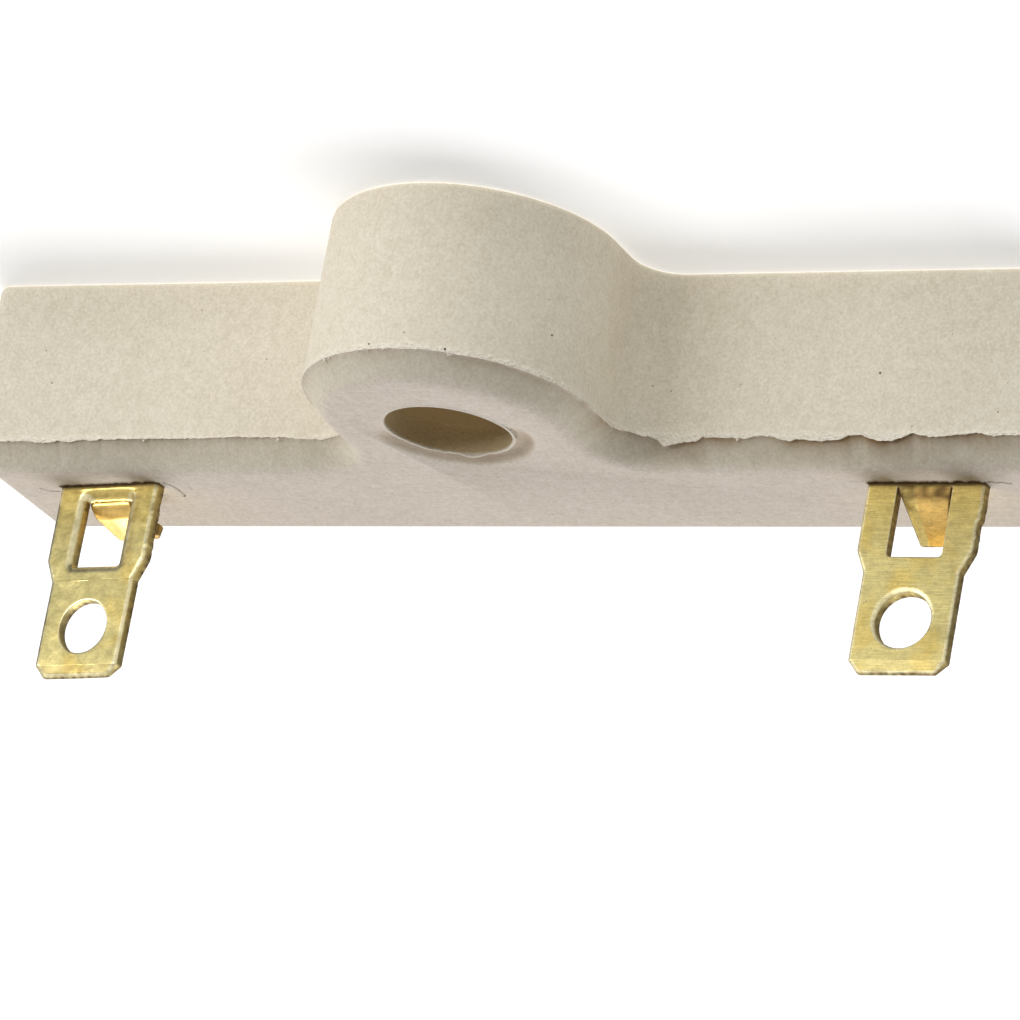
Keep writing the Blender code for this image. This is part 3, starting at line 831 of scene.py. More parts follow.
def trough_cutter():
    loops = []
    for z, grow in ((-1.0, 1.4), (0.0, 0.4), (0.4, 0.0), (4.0, 0.0), (8.6, -0.1), (9.0, -0.5)):
        half_x = TROUGH_LENGTH / 2 + grow * MM
        half_y = TROUGH_WIDTH / 2 + grow * MM
        round_off = TROUGH_CORNER + grow * MM
        ring = []
        centres = [(1, 1, 0), (-1, 1, 90), (-1, -1, 180), (1, -1, 270)]
        for side_x, side_y, start in centres:
            centre = (side_x * (half_x - round_off), TROUGH_Y + side_y * (half_y - round_off))
            ring += arc(centre, round_off, start, start + 90, 8)
        loops.append([(x, y, z * MM) for x, y in ring])
    return loft("trough_cutter", loops)


def slot_loop(grow):
    """Half the slot's length, half its depth and its corner's radius, all grown, for the slot and its cement."""
    return SLOT_LENGTH / 2 + grow, SLOT_DEPTH / 2 + grow, SLOT_CORNER + grow


def slot_cutter(side):
    half_x, half_y, corner = slot_loop(0.0)
    loop = rounded_loop([(x, y, corner) for x, y in box_corners(half_x, half_y)], 0.2 * MM)
    rings = []
    for z in (ROOF_Z - 0.8 * MM, HEIGHT - 1.2 * MM, HEIGHT + 1.0 * MM):
        ring = []
        for x, y in loop:
            shake = 1.0 + 0.010 * ripple(x, y, side * 3.0 * MM, 0.5 * MM)
            ring.append((side * TERMINAL_X + x * shake, TERMINAL_Y + y * shake, z))
        rings.append(ring)
    return loft("slot_cutter", rings)


class RESISTOR_OT_block(bpy.types.Operator):
    """Makes the moulded ceramic block with its torn parting edge, bolt hole, trough and slots"""

    bl_idname = "resistor.block"
    bl_label = "Ceramic block"

    def execute(self, context):
        settings = context.scene.resistor_ceramic
        block = new_piece("ceramic_block", block_mesh(settings))
        cut_away(block, [bore_cutter(settings), trough_cutter(), slot_cutter(1), slot_cutter(-1)])
        shade(block.data, 38.0)
        finish_piece(block, ceramic_material(settings), "ceramic", "ceramic_body")
        return {"FINISHED"}


# The cement in the blades' slots


# Hairline cracks in the cement as the photograph shows them: (x, y) on the block, in millimetres
CRACKS = {
    "left": (
        ((33.9, 5.0), (33.77, 5.08), (33.43, 5.43), (32.9, 5.5), (32.48, 5.61)),
        ((24.34, 4.09), (23.95, 4.61), (23.81, 5.48), (23.91, 6.45)),
    ),
    "right": (
        ((-32.3, 4.3), (-32.7, 4.22), (-33.05, 4.42), (-33.4, 4.34), (-33.75, 4.55), (-34.0, 4.5)),
    ),
}


def from_crack(x, y, crack):
    """The distance from a place on the block to a crack's line."""
    least = math.inf
    here = Vector((x / MM, y / MM))
    for start, end in zip(crack, crack[1:]):
        first, run = Vector(start), Vector(end) - Vector(start)
        share = min(1.0, max(0.0, (here - first).dot(run) / run.length_squared))
        least = min(least, (here - first - run * share).length)
    return least * MM


def cement_height(x, y, place, settings):
    """Height of the cement's top over one point of the slot, measured from the blade's middle."""
    lumps = ripple(x, y, place["side"] * MM, 0.9 * MM) + 0.6 * ripple(x, y, place["side"] * MM, 0.3 * MM)
    z = HEIGHT + settings.roughness * lumps
    ahead = -y - SHEET / 2
    lip_end = SLOT_LENGTH / 2 - 0.2 * MM if place["side"] < 0 else 4.0 * MM
    along = -place["side"] * x
    in_reach = smooth_step(-4.2 * MM, -3.8 * MM, along) * (1 - smooth_step(lip_end - 0.3 * MM, lip_end, along))
    ragged = 0.75 + 0.6 * ripple(x, 0.0, 4 * MM, 0.5 * MM) + 0.5 * ripple(x, 0.0, 9 * MM, 0.16 * MM)
    if ahead > -0.5 * MM:
        z += settings.lip * math.exp(-((ahead - 0.22 * MM) / (0.15 * MM)) ** 2) * ragged * in_reach
    return z


def cement_mesh(name, word, place, settings):
    """A closed body: a fine top surface that fills the slot, skirts down its walls and a flat underside."""
    half_x, half_y, corner = slot_loop(-0.004 * MM)
    across, deep = 150, 46
    turn = Matrix.Rotation(math.radians(-place["twist"]), 2)
    edit = bmesh.new()
    dirt_and_shade = edit.verts.layers.float.new("dirt_and_shade")
    grid = []
    for row in range(deep + 1):
        y = -half_y + 2 * half_y * row / deep
        over = max(0.0, abs(y) - (half_y - corner))
        reach = half_x - corner + math.sqrt(max(0.0, corner**2 - over**2))
        line = []
        for column in range(across + 1):
            x = reach * (2 * column / across - 1)
            spun = turn @ Vector((x, y))
            near_rim = min(row, deep - row, column, across - column)
            z = cement_height(spun.x, spun.y, place, settings)
            z = HEIGHT + (z - HEIGHT) * min(1.0, near_rim / 4)
            place_x, place_y = place["side"] * TERMINAL_X + x, TERMINAL_Y + y
            crack = 0.0
            for line_points in CRACKS[word]:
                width = (0.09 + 0.04 * ripple(x, y, 6.0, 0.4 * MM)) * MM
                crack = max(crack, 1 - smooth_step(0.4 * width, width, from_crack(place_x, place_y, line_points)))
            vert = edit.verts.new((place_x, place_y, z - settings.crack_depth * crack))
            # Painted shadow with grime along the blade's front; the cracks take half of this mark as painted shade
            ahead = -spun.y - SHEET / 2
            reached = (0.5 + 0.16 * ripple(spun.x, 0.0, 7 * MM, 0.5 * MM)) * MM
            reached *= 1 - smooth_step(3.7 * MM, 3.95 * MM, abs(spun.x))
            grime_and_shade = 1 - smooth_step(0.55 * reached, reached + 0.01 * MM, abs(ahead))
            vert[dirt_and_shade] = max(grime_and_shade, 0.5 * crack)
            line.append(vert)
        grid.append(line)
    for row in range(deep):
        for column in range(across):
            edit.faces.new(
                [grid[row][column], grid[row][column + 1], grid[row + 1][column + 1], grid[row + 1][column]]
            )
    rim = [edge for edge in edit.edges if edge.is_boundary]
    skirt = bmesh.ops.extrude_edge_only(edit, edges=rim)
    for item in skirt["geom"]:
        if isinstance(item, bmesh.types.BMVert):
            item.co.z = ROOF_Z + 0.04 * MM
    bmesh.ops.contextual_create(edit, geom=[item for item in skirt["geom"] if isinstance(item, bmesh.types.BMEdge)])
    return finished_mesh(name, edit, turn_outward=True)


def blade_slit(place, settings):
    """The room that the shank takes in the cement."""
    half_x = settings.shank_width / 2 + 0.02 * MM
    half_y = SHEET / 2 + 0.02 * MM
    turn = Matrix.Rotation(math.radians(place["twist"]), 2)
    rings = []
    for z in (ROOF_Z - 1.0 * MM, HEIGHT + 1.0 * MM):
        ring = []
        for x, y in box_corners(half_x, half_y):
            spun = turn @ Vector((x, y))
            ring.append((place["side"] * TERMINAL_X + spun.x, TERMINAL_Y + spun.y, z))
        rings.append(ring)
    return loft("blade_slit", rings)


class RESISTOR_OT_cement(bpy.types.Operator):
    """Makes the cement that closes both slots round the blades"""

    bl_idname = "resistor.cement"
    bl_label = "Cement fills"

    def execute(self, context):
        settings = context.scene.resistor_cement
        material = cement_material(context.scene.resistor_ceramic)
        for word, place in TERMINALS.items():
            name = f"cement_fill_{word}"
            fill = new_piece(name, cement_mesh(name, word, place, settings))
            cut_away(fill, [blade_slit(place, context.scene.resistor_terminal)])
            shade(fill.data, 50.0)
            finish_piece(fill, material, "cement", f"cement_seal_{word}")
        return {"FINISHED"}


# The stamped terminals


# The edges that the die rolled over, as (width, depth) on the outline, round the hole and round the window; how much
# narrower the hole's roll is on the side away from its wide part; the ridge of the tab from its root to its end;
# the painted shade of the sheared edges and of the bevel at the tip
FINISHES = {
    "left": {
        "rolls": ((0.34 * MM, 0.17 * MM), (0.12 * MM, 0.05 * MM), (0.55 * MM, 0.30 * MM)),
        "hole_bias": 0.0,
        "convex": 0.36 * MM,
        "window_corner": 0.24 * MM,
        "ragged": 0.07 * MM,
        "step": 0.0,
        "ridge": (0.2 * MM, 0.0),
        "crease": 0.15 * MM,
        "reflection_facet_tint": 0.9,
        "wing": -1.35 * MM,
        "lean": 0.0,
        "sheared": 0.3,
        "bevel": 0.42,
    },
    "right": {
        "rolls": ((0.26 * MM, 0.13 * MM), (0.46 * MM, 0.20 * MM), (0.08 * MM, 0.05 * MM)),
        "hole_bias": 0.8,
        "convex": 0.27 * MM,
        "window_corner": 0.3 * MM,
        "ragged": 0.04 * MM,
        "step": 0.14 * MM,
        "ridge": (0.7 * MM, 0.15 * MM),
        "crease": 0.38 * MM,
        "reflection_facet_tint": 0.15,
        "wing": 0.0,
        "lean": -0.4 * MM,
        "sheared": 0.6,
        "bevel": 0.16,
    },
}
STEP_Y = -10.0 * MM
ROOT_DISH = 0.52 * MM
ROLL_SHARES = (0.0, 0.12, 0.3, 0.55, 0.8, 1.0)
BACK_ROLL = 0.05 * MM
TAB_ROLL = 0.15 * MM


def blank_loops(settings, strip, finish):
    """The flat blank: its outline, the hole and the lanced window, with the material on each loop's left."""
    tip = settings.blade_width / 2
    shank = settings.shank_width / 2
    cut_x, cut_y = tip - TIP_CUT_ACROSS, -TIP_CUT_ALONG
    convex = finish["convex"]
    right = [
        (cut_x, 0.0, convex),
        (tip, cut_y, convex),
        (tip, -NECK_START, 0.5 * MM),
        (shank, -NECK_END, 0.5 * MM),
        (shank, -strip, 0.4 * MM),
    ]
    step = 0.13 * MM
    outer = rounded_loop([(-x, y, r) for x, y, r in right] + [(x, y, r) for x, y, r in reversed(right)], step)
    ragged = []
    for x, y in outer:
        rough = finish["ragged"] * (1.0 if x < -2.6 * MM and -12.5 * MM < y < -NECK_END else 0.2)
        shift = rough * (ripple(x, y, 0.0, 0.22 * MM) + 0.6 * ripple(x, y, 0.0, 0.6 * MM))
        if x < -2.6 * MM and y < -NECK_START:
            shift -= finish["step"] * (1 - smooth_step(STEP_Y - 0.1 * MM, STEP_Y + 0.12 * MM, y))
        ragged.append((x + (shift if abs(x) > 2.4 * MM else 0.0), y))
    hole = arc((0.0, -HOLE_FROM_TIP), settings.hole_radius, 360, 0, 84)[:-1]
    half, low, corner = WINDOW_WIDTH / 2, -WINDOW_FROM_TIP, finish["window_corner"]
    root, end, tab_end = TAB_ROOT_WIDTH / 2, TAB_TIP_WIDTH / 2, ROOT_Y + TAB_LENGTH
    corners = [
        (-half, ROOT_Y, 0.02 * MM), (-half, low, corner), (half, low, corner), (half, ROOT_Y, 0.02 * MM),
        (root, ROOT_Y, 0.02 * MM), (end, tab_end, 0.15 * MM), (-end, tab_end, 0.15 * MM), (-root, ROOT_Y, 0.02 * MM),
    ]
    return [ragged, hole, rounded_loop(corners, step)]


def flat_fill(loops):
    """Triangles that fill the first loop with the others as holes, as (points, faces)."""
    curve = bpy.data.curves.new("fill", "CURVE")
    curve.dimensions = "2D"
    curve.fill_mode = "BOTH"
    for loop in loops:
        spline = curve.splines.new("POLY")
        spline.points.add(len(loop) - 1)
        for point, (x, y) in zip(spline.points, loop):
            point.co = (x, y, 0.0, 1.0)
        spline.use_cyclic_u = True
    holder = new_piece("fill", curve)
    graph = bpy.context.evaluated_depsgraph_get()
    mesh = bpy.data.meshes.new_from_object(holder.evaluated_get(graph))
    bpy.data.objects.remove(holder)
    bpy.data.curves.remove(curve)
    points = [vert.co.copy() for vert in mesh.vertices]
    faces = [list(face.vertices) for face in mesh.polygons]
    bpy.data.meshes.remove(mesh)
    return points, faces


def roll_drop(share, depth):
    """How far the die-rolled surface has dropped at a share of the roll's width."""
    return depth * (1 - math.sqrt(max(0.0, 1 - (1 - share) ** 2)))


def roll_widths(loop, width, bias):
    """The roll's width at each point: narrow round the locking tab, and uneven round the hole by the bias."""
    widths = []
    for x, y in loop:
        on_tab = in_tab(x, y) * smooth_step(ROOT_Y, ROOT_Y + 0.6 * MM, y)
        here = width + (TAB_ROLL - width) * on_tab
        around = math.atan2(y + HOLE_FROM_TIP, x)
        widths.append(here * (1 - bias * (0.5 - 0.5 * math.cos(around + math.radians(60)))))
    return widths


def thick_blank(loops, finish):
    """The blank with its thickness and its rolled edges, z towards the viewer's side."""
    edit = bmesh.new()
    edge_mark = edit.verts.layers.float.new("edge")
    inner = []
    for loop, (width, front_depth), bias in zip(loops, finish["rolls"], (0.0, finish["hole_bias"], 0.0)):
        widths = roll_widths(loop, width, bias)
        inner.append(offset_loop(loop, widths))
        rows = []
        for side in (1, -1):
            depth = front_depth if side > 0 else BACK_ROLL
            shares = ROLL_SHARES if side < 0 else tuple(reversed(ROLL_SHARES))
            for share in shares:
                row = []
                for (x, y), wide in zip(offset_loop(loop, [wide * share for wide in widths]), widths):
                    z = side * (SHEET / 2 - roll_drop(share, depth * wide / width))
                    vert = edit.verts.new((x, y, z))
                    vert[edge_mark] = 1.0 - share
                    row.append(vert)
                rows.append(row)
        for upper, lower in zip(rows, rows[1:]):
            for index in range(len(upper)):
                after = (index + 1) % len(upper)
                edit.faces.new([upper[index], lower[index], lower[after], upper[after]])
    points, faces = flat_fill(inner)
    for side in (1, -1):
        verts = [edit.verts.new((point.x, point.y, side * SHEET / 2)) for point in points]
        for face in faces:
            edit.faces.new([verts[index] for index in face])
    bmesh.ops.remove_doubles(edit, verts=edit.verts, dist=2e-6)
    bmesh.ops.recalc_face_normals(edit, faces=edit.faces)
    return edit


def tab_half(y):
    """How far along the tab a point lies, from 0 at its root to 1, and half the tab's width there."""
    along = (y - ROOT_Y) / TAB_LENGTH
    return along, (TAB_ROOT_WIDTH + (TAB_TIP_WIDTH - TAB_ROOT_WIDTH) * along) / 2


def in_tab(x, y):
    return 1e-6 < y - ROOT_Y < TAB_LENGTH + 1e-6 and abs(x) < tab_half(y)[1] + 0.02 * MM


def bend(distance, radius, angle):
    """How far a strip has gone forwards and sideways, and how far it has turned, at a distance into a bend."""
    run = min(distance, radius * angle)
    rest = distance - run
    turned = run / radius
    forward = radius * math.sin(turned) + rest * math.cos(turned)
    sideways = radius * (1 - math.cos(turned)) + rest * math.sin(turned)
    return forward, sideways, turned


def crease_share(x, y, finish):
    """How far up the tab's folded ridge a point lies, from 0 at the tab's sides to 1, and the ridge's own x."""
    along, half = tab_half(y)
    root, end = finish["ridge"]
    ridge = root + (end - root) * along
    share = (half - x) / (half - ridge) if x > ridge else (half + x) / (half + ridge)
    return min(1.0, max(0.0, share)), ridge


def coined(x, y, w, settings):
    """The height of the left terminal's glossy side, coined thinner along the blade and dished over the tab's root."""
    w -= settings.coin_depth * smooth_step(-NECK_START, -NECK_START + 0.06 * MM, y)
    half_window = WINDOW_WIDTH / 2
    if w > 0 and abs(x) < half_window + 0.3 * MM and ROOT_Y - 0.8 * MM < y < ROOT_Y + 1.4 * MM:
        aside = 1 - smooth_step(half_window - 0.3 * MM, half_window + 0.2 * MM, abs(x))
        fade = 0.75 * MM if y < ROOT_Y else 1.3 * MM
        w -= ROOT_DISH * aside * (1 - smooth_step(0.05 * MM, fade, abs(y - ROOT_Y)))
    return w


def stain_and_shade_at(x, y, w, edge, tab, word, foot_start):
    """How much painted shade a point of the blank takes: at the cement, over the tab's root, and on its sheared edges.
    """
    left = word == "left"
    place = TERMINALS[word]
    above = y + place["reach"] + 0.06 * MM * ripple(x, 0.0, place["side"] * MM, 0.5 * MM)
    # Painted shade along the brass just above the cement; the foot takes a flat 0.3
    low_shade = 0.9 * (1 - smooth_step(0.1 * MM, 0.3 * MM, above)) if y > foot_start else 0.3
    over_root = abs(x) < TAB_ROOT_WIDTH / 2 + 0.1 * MM and y > ROOT_Y - 0.9 * MM
    # Painted shade over the tab's root
    root_and_strut_shade = 0.8 * (1 - smooth_step(0.2 * MM, 0.9 * MM, abs(y - ROOT_Y))) if over_root and w > 0 else 0.0
    on_strut = smooth_step(ROOT_Y - 0.6 * MM, ROOT_Y, y) * (1 - smooth_step(-8.2 * MM, -7.4 * MM, y))
    if left:
        # Painted dark reflection on the left strut beside the window
        beside = smooth_step(1.7 * MM, 2.0 * MM, -x) * (1 - smooth_step(2.5 * MM, 3.0 * MM, -x))
        root_and_strut_shade = max(0.5 * root_and_strut_shade, 0.5 * beside * on_strut)
    # Painted shade and dark reflection on the sheared edges and round the tab's edges, darkest on the back
    sheared = FINISHES[word]["sheared"] if w > 0 else 0.95
    steps = ((0.1, 0.0), (0.5, 0.85)) if tab else ((0.8, 0.0), (0.88, 0.35 * sheared), (1.0, sheared))
    marks = [from_table(steps, edge)]
    # The left tab is painted darker towards its end, most on its left side
    if tab and left:
        far = tab_half(y)[0]
        marks.append(0.75 * smooth_step(0.6, 0.9, far) if x < -0.4 * MM else 0.25 * smooth_step(0.1, 0.5, far))
    # Painted shade in the groove of the coined step
    if left and w > 0 and abs(y + NECK_START) < 0.01 * MM:
        marks.append(0.4)
    # Painted shade over the tip's bevel, darkest at the very tip
    if w > 0 and y > -TIP_BEVEL_LENGTH:
        marks += [FINISHES[word]["bevel"], 0.8 * smooth_step(-0.16 * MM, -0.06 * MM, y)]
    # Painted dark reflection on the right terminal's strut beside the window
    if not left and not tab and w > 0 and x < -1.8 * MM:
        marks.append(0.18 * on_strut)
    rubbed = 0.85 + 0.7 * ripple(x, y, w, 0.3 * MM)
    return max(low_shade, root_and_strut_shade * rubbed, max(marks) * rubbed)


def fold_terminal(edit, word, place, settings):
    """Folds the thick blank into the terminal and sets it in its place."""
    finish = FINISHES[word]
    reach = place["reach"]
    tint = edit.verts.layers.float.new("tab_tint")
    dirt_and_shade = edit.verts.layers.float.new("dirt_and_shade")
    edge_mark = edit.verts.layers.float["edge"]
    foot_start = -(reach + HEIGHT - FOOT_Z - FOOT_BEND_RADIUS)
    twist = Matrix.Rotation(math.radians(place["twist"]), 3, "Z")
    centre = Vector((place["side"] * TERMINAL_X, TERMINAL_Y, HEIGHT + reach))
    for vert in edit.verts:
        x, y, w = vert.co
        if y > -TIP_BEVEL_LENGTH:
            w *= (SHEET / 2 - TIP_BEVEL * (1 + y / TIP_BEVEL_LENGTH)) / (SHEET / 2)
        if word == "left" and w > 0:
            w = coined(x, y, w, settings)
        tab = in_tab(x, y)
        down, x_shift = -y, 0.0
        if tab:
            along, back, turned = bend(y - ROOT_Y, TAB_BEND_RADIUS, math.radians(place["tab_bend"]))
            far = tab_half(y)[0]
            share, ridge = crease_share(x, y, finish)
            wing = max(0.0, -x / (TAB_TIP_WIDTH / 2)) * smooth_step(0.45, 1.0, far)
            x_shift = place["tab_lean"] * far + finish["wing"] * wing
            crease = finish["crease"] * min(1.0, far * 3.0) * share
            down = -ROOT_Y - along - (0.5 * crease + w) * math.sin(turned)
            back -= (crease + w) * math.cos(turned)
            # Painted reflection: the facet past the ridge takes only this share of the tab's colour
            vert[tint] = finish["reflection_facet_tint"] if x > ridge else 1.0
        elif y < foot_start:
            forward, back, turned = bend(foot_start - y, FOOT_BEND_RADIUS, math.pi / 2)
            down = -foot_start + forward + w * math.sin(turned)
            back -= w * math.cos(turned)
        else:
            sway = 0.05 * MM * ripple(x, y, place["side"] * MM, 4 * MM)
            if word == "left":
                sway += 0.06 * MM * smooth_step(-NECK_START, -1.5 * MM, y) * (1 - (x / (3.2 * MM)) ** 2)
            back = -w + sway * smooth_step(-13 * MM, -11 * MM, y)
            back += finish["lean"] * max(0.0, y + reach) / reach
        vert[dirt_and_shade] = stain_and_shade_at(x, y, w, vert[edge_mark], tab, word, foot_start)
        vert.co = centre + twist @ Vector((x + x_shift, back, -down))


def terminal_mesh(name, word, place, settings):
    finish = FINISHES[word]
    strip = place["reach"] + HEIGHT - FOOT_Z + FOOT_BEND_RADIUS * (math.pi / 2 - 2) + FOOT_LENGTH
    edit = thick_blank(blank_loops(settings, strip, finish), finish)

    # Cuts that give the sheet enough points to bend: across it, along it, at the coined step and along the tab's ridge
    rungs = [-TIP_BEVEL_LENGTH]
    y = -0.45 * MM
    while y > -strip:
        rungs.append(y)
        y -= 0.3 * MM
    lines = [(Vector((0, y, 0)), Vector((0, 1, 0))) for y in rungs]
    lines += [(Vector((step * 0.42 * MM, 0, 0)), Vector((1, 0, 0))) for step in range(-8, 9)]
    lines += [(Vector((0, -NECK_START + offset, 0)), Vector((0, 1, 0))) for offset in (0.0, 0.06 * MM)]
    root, end = finish["ridge"]
    along_ridge = Vector((TAB_LENGTH, root - end, 0)).normalized()
    lines += [(Vector((root + offset, ROOT_Y, 0)), along_ridge) for offset in (-0.08 * MM, 0.0, 0.08 * MM)]
    for place_co, normal in lines:
        geom = list(edit.verts) + list(edit.edges) + list(edit.faces)
        bmesh.ops.bisect_plane(edit, geom=geom, dist=2e-6, plane_co=place_co, plane_no=normal)
    fold_terminal(edit, word, place, settings)
    bmesh.ops.remove_doubles(edit, verts=edit.verts, dist=1e-6)
    return finished_mesh(name, edit, turn_outward=True)


class RESISTOR_OT_terminals(bpy.types.Operator):
    """Makes both stamped brass terminals: cut, rolled, coined, lanced and folded"""

    bl_idname = "resistor.terminals"
    bl_label = "Brass terminals"

    def execute(self, context):
        settings = context.scene.resistor_terminal
        materials = {
            "left": brass_material("stamped brass, polished side", settings, 0.25, 0.75),
            "right": brass_material("stamped brass, brushed side", settings, 1.0, 0.3),
        }
        for word, place in TERMINALS.items():
            name = f"brass_terminal_{word}"
            terminal = new_piece(name, terminal_mesh(name, word, place, settings))
            shade(terminal.data, 42.0)
            finish_piece(terminal, materials[word], "brass", f"terminal_{word}")
        return {"FINISHED"}


# Pieces made by geometry nodes


def new_geometry_tree(name, inputs):
    """A geometry tree whose inputs include what sets its material."""
    inputs = [("Geometry", "Geometry", None)] + inputs + [("Material", "Material", None)]
    return new_tree(name, "GeometryNodeTree", inputs, [("Geometry", "Geometry")])


def dress(tree, given, out, geometry):
    """Ends a geometry tree: real instances with the given material."""
    real = put(tree, "GeometryNodeRealizeInstances", {"Geometry": geometry}).outputs[0]
    values = {"Geometry": real, "Material": given["Material"]}
    feed(tree, out["Geometry"], put(tree, "GeometryNodeSetMaterial", values).outputs[0])
    return tree


def grown(name, data, tree, values):
    """The plain mesh that a tree makes of the data with these input values."""
    obj = new_piece(name, data)
    modifier = obj.modifiers.new(tree.name, "NODES")
    modifier.node_group = tree
    for socket in tree.interface.items_tree:
        if socket.in_out == "INPUT" and socket.name in values:
            modifier[socket.identifier] = values[socket.name]
    return applied(obj)


def wander(tree, place, scale):
    """Noise from -0.5 to 0.5 along each axis."""
    waves = put(tree, "ShaderNodeTexNoise", {"Vector": place, "Scale": scale, "Detail": 1.0}).outputs["Color"]
    return vectors("SUBTRACT", waves, (0.5, 0.5, 0.5))


def wire_tree():
    inputs = [("Wire diameter", "Float", 0.9 * MM), ("Facets", "Int", 12), ("Unevenness", "Float", 0.05 * MM)]
    tree, given, out = new_geometry_tree("wound wire", inputs)
    place = put(tree, "GeometryNodeInputPosition").outputs[0]
    values = {"Geometry": given["Geometry"], "Offset": scaled(wander(tree, place, 420.0), given["Unevenness"])}
    moved = put(tree, "GeometryNodeSetPosition", values).outputs[0]
    values = {"Resolution": given["Facets"], "Radius": times(given["Wire diameter"], 0.5)}
    profile = put(tree, "GeometryNodeCurvePrimitiveCircle", values).outputs["Curve"]
    values = {"Curve": moved, "Profile Curve": profile, "Fill Caps": True}
    return dress(tree, given, out, put(tree, "GeometryNodeCurveToMesh", values).outputs[0])


# How the coil's ends leave the winding: its gap to the shanks, the turn and the run in which they ease, and the lead
STEPS_PER_TURN = 24
COIL_GAP = 1.6 * MM
EASE_TURN = math.radians(100)
EASE_RUN = 1.4 * MM
LEAD_REACH = 2.6 * MM
LEAD_SUNK = 0.03 * MM


def coil_path(settings):
    """The wire's middle line from one lead's end to the other; each half mirrors the other."""
    turning = math.pi * settings.turns - EASE_TURN
    steps = settings.turns * STEPS_PER_TURN // 2
    half = TERMINAL_X - SHANK_WIDTH / 2 - COIL_GAP
    spots = [(half * step / steps, turning * step / steps) for step in range(1, steps + 1)]
    climb = 2 * half / turning * EASE_TURN
    ease_steps = STEPS_PER_TURN // 2
    for step in range(1, ease_steps + 1):
        share = step / ease_steps
        along = half + climb * share + (EASE_RUN - climb) * share**2
        spots.append((along, turning + EASE_TURN * (1 - (1 - share) ** 2)))
    spots += [(TERMINAL_X + reach, turning + EASE_TURN) for reach in (0.0, LEAD_REACH)]
    mirrored = [(-along, -angle) for along, angle in reversed(spots)]
    radius = settings.diameter / 2
    lead_z = FOOT_Z - SHEET / 2 - settings.wire / 2 + LEAD_SUNK
    middle_angle = math.pi / 2 - math.pi * settings.turns
    points = []
    for along, angle in mirrored + [(0.0, 0.0)] + spots:
        turned = middle_angle + angle
        y = TROUGH_Y + radius * math.cos(turned)
        points.append((along, y, lead_z - radius + radius * math.sin(turned)))
    return points


class RESISTOR_OT_coil(bpy.types.Operator):
    """Winds the resistance wire between the terminals' feet"""

    bl_idname = "resistor.coil"
    bl_label = "Resistance coil"

    def execute(self, context):
        settings = context.scene.resistor_coil
        curve = bpy.data.curves.new("wound_coil", "CURVE")
        curve.dimensions = "3D"
        points = coil_path(settings)
        spline = curve.splines.new("POLY")
        spline.points.add(len(points) - 1)
        for point, place in zip(spline.points, points):
            point.co = (*place, 1.0)
        material = wire_material(settings)
        values = {"Wire diameter": settings.wire, "Facets": 12, "Unevenness": 0.05 * MM, "Material": material}
        coil = grown("wound_coil", curve, wire_tree(), values)
        shade(coil.data, 50.0)
        finish_piece(coil, material, "resistance_wire", "resistance_coil")
        return {"FINISHED"}


def grit_tree(name, flatten):
    """Small angular grains on points that carry a size and an outward direction."""
    tree, given, out = new_geometry_tree(name, [("Grain size", "Float", 0.1 * MM), ("Seed", "Int", 0)])

    def carried(label, kind):
        return put(tree, "GeometryNodeInputNamedAttribute", {"Name": label}, data_type=kind).outputs["Attribute"]

    def drawn(low, high, kind):
        values = {"Min": low, "Max": high, "Seed": given["Seed"]}
        return put(tree, "FunctionNodeRandomValue", values, data_type=kind).outputs

    ball = put(tree, "GeometryNodeMeshIcoSphere", {"Radius": 0.5, "Subdivisions": 1}).outputs["Mesh"]
    place = put(tree, "GeometryNodeInputPosition").outputs[0]
    ball = put(tree, "GeometryNodeSetPosition", {"Geometry": ball, "Offset": wander(tree, place, 1.6)}).outputs[0]
    squash = put(tree, "GeometryNodeTransform", {"Geometry": ball, "Scale": (1.0, 1.0, flatten)}).outputs[0]
    facing = carried("outward", "FLOAT_VECTOR")
    size = carried("size", "FLOAT")
    aligned = put(tree, "FunctionNodeAlignRotationToVector", {"Vector": facing}, axis="Z").outputs["Rotation"]
    values = {"Axis": (0.0, 0.0, 1.0), "Angle": drawn(0.0, 6.28, "FLOAT")[1]}
    about = put(tree, "FunctionNodeAxisAngleToRotation", values).outputs["Rotation"]
    values = {"Rotation": aligned, "Rotate By": about}
    turned = put(tree, "FunctionNodeRotateRotation", values, rotation_space="LOCAL").outputs["Rotation"]
    stretch = drawn((0.7, 0.7, 0.7), (1.5, 1.1, 1.2), "FLOAT_VECTOR")[0]
    values = {"Points": given["Geometry"], "Instance": squash, "Rotation": turned}
    values["Scale"] = scaled(stretch, times(size, given["Grain size"]))
    return dress(tree, given, out, put(tree, "GeometryNodeInstanceOnPoints", values).outputs[0])


def point_mesh(name, spots):
    """A mesh of loose points from (place, outward, size)."""
    mesh = bpy.data.meshes.new(name)
    mesh.from_pydata([tuple(place) for place, _, _ in spots], [], [])
    mesh.attributes.new("outward", "FLOAT_VECTOR", "POINT")
    mesh.attributes.new("size", "FLOAT", "POINT")
    for index, (_, direction, share) in enumerate(spots):
        mesh.attributes["outward"].data[index].vector = direction
        mesh.attributes["size"].data[index].value = share
    return mesh


STRAY_CHANCE = 0.01
CRUMB_SUNK = 0.03 * MM


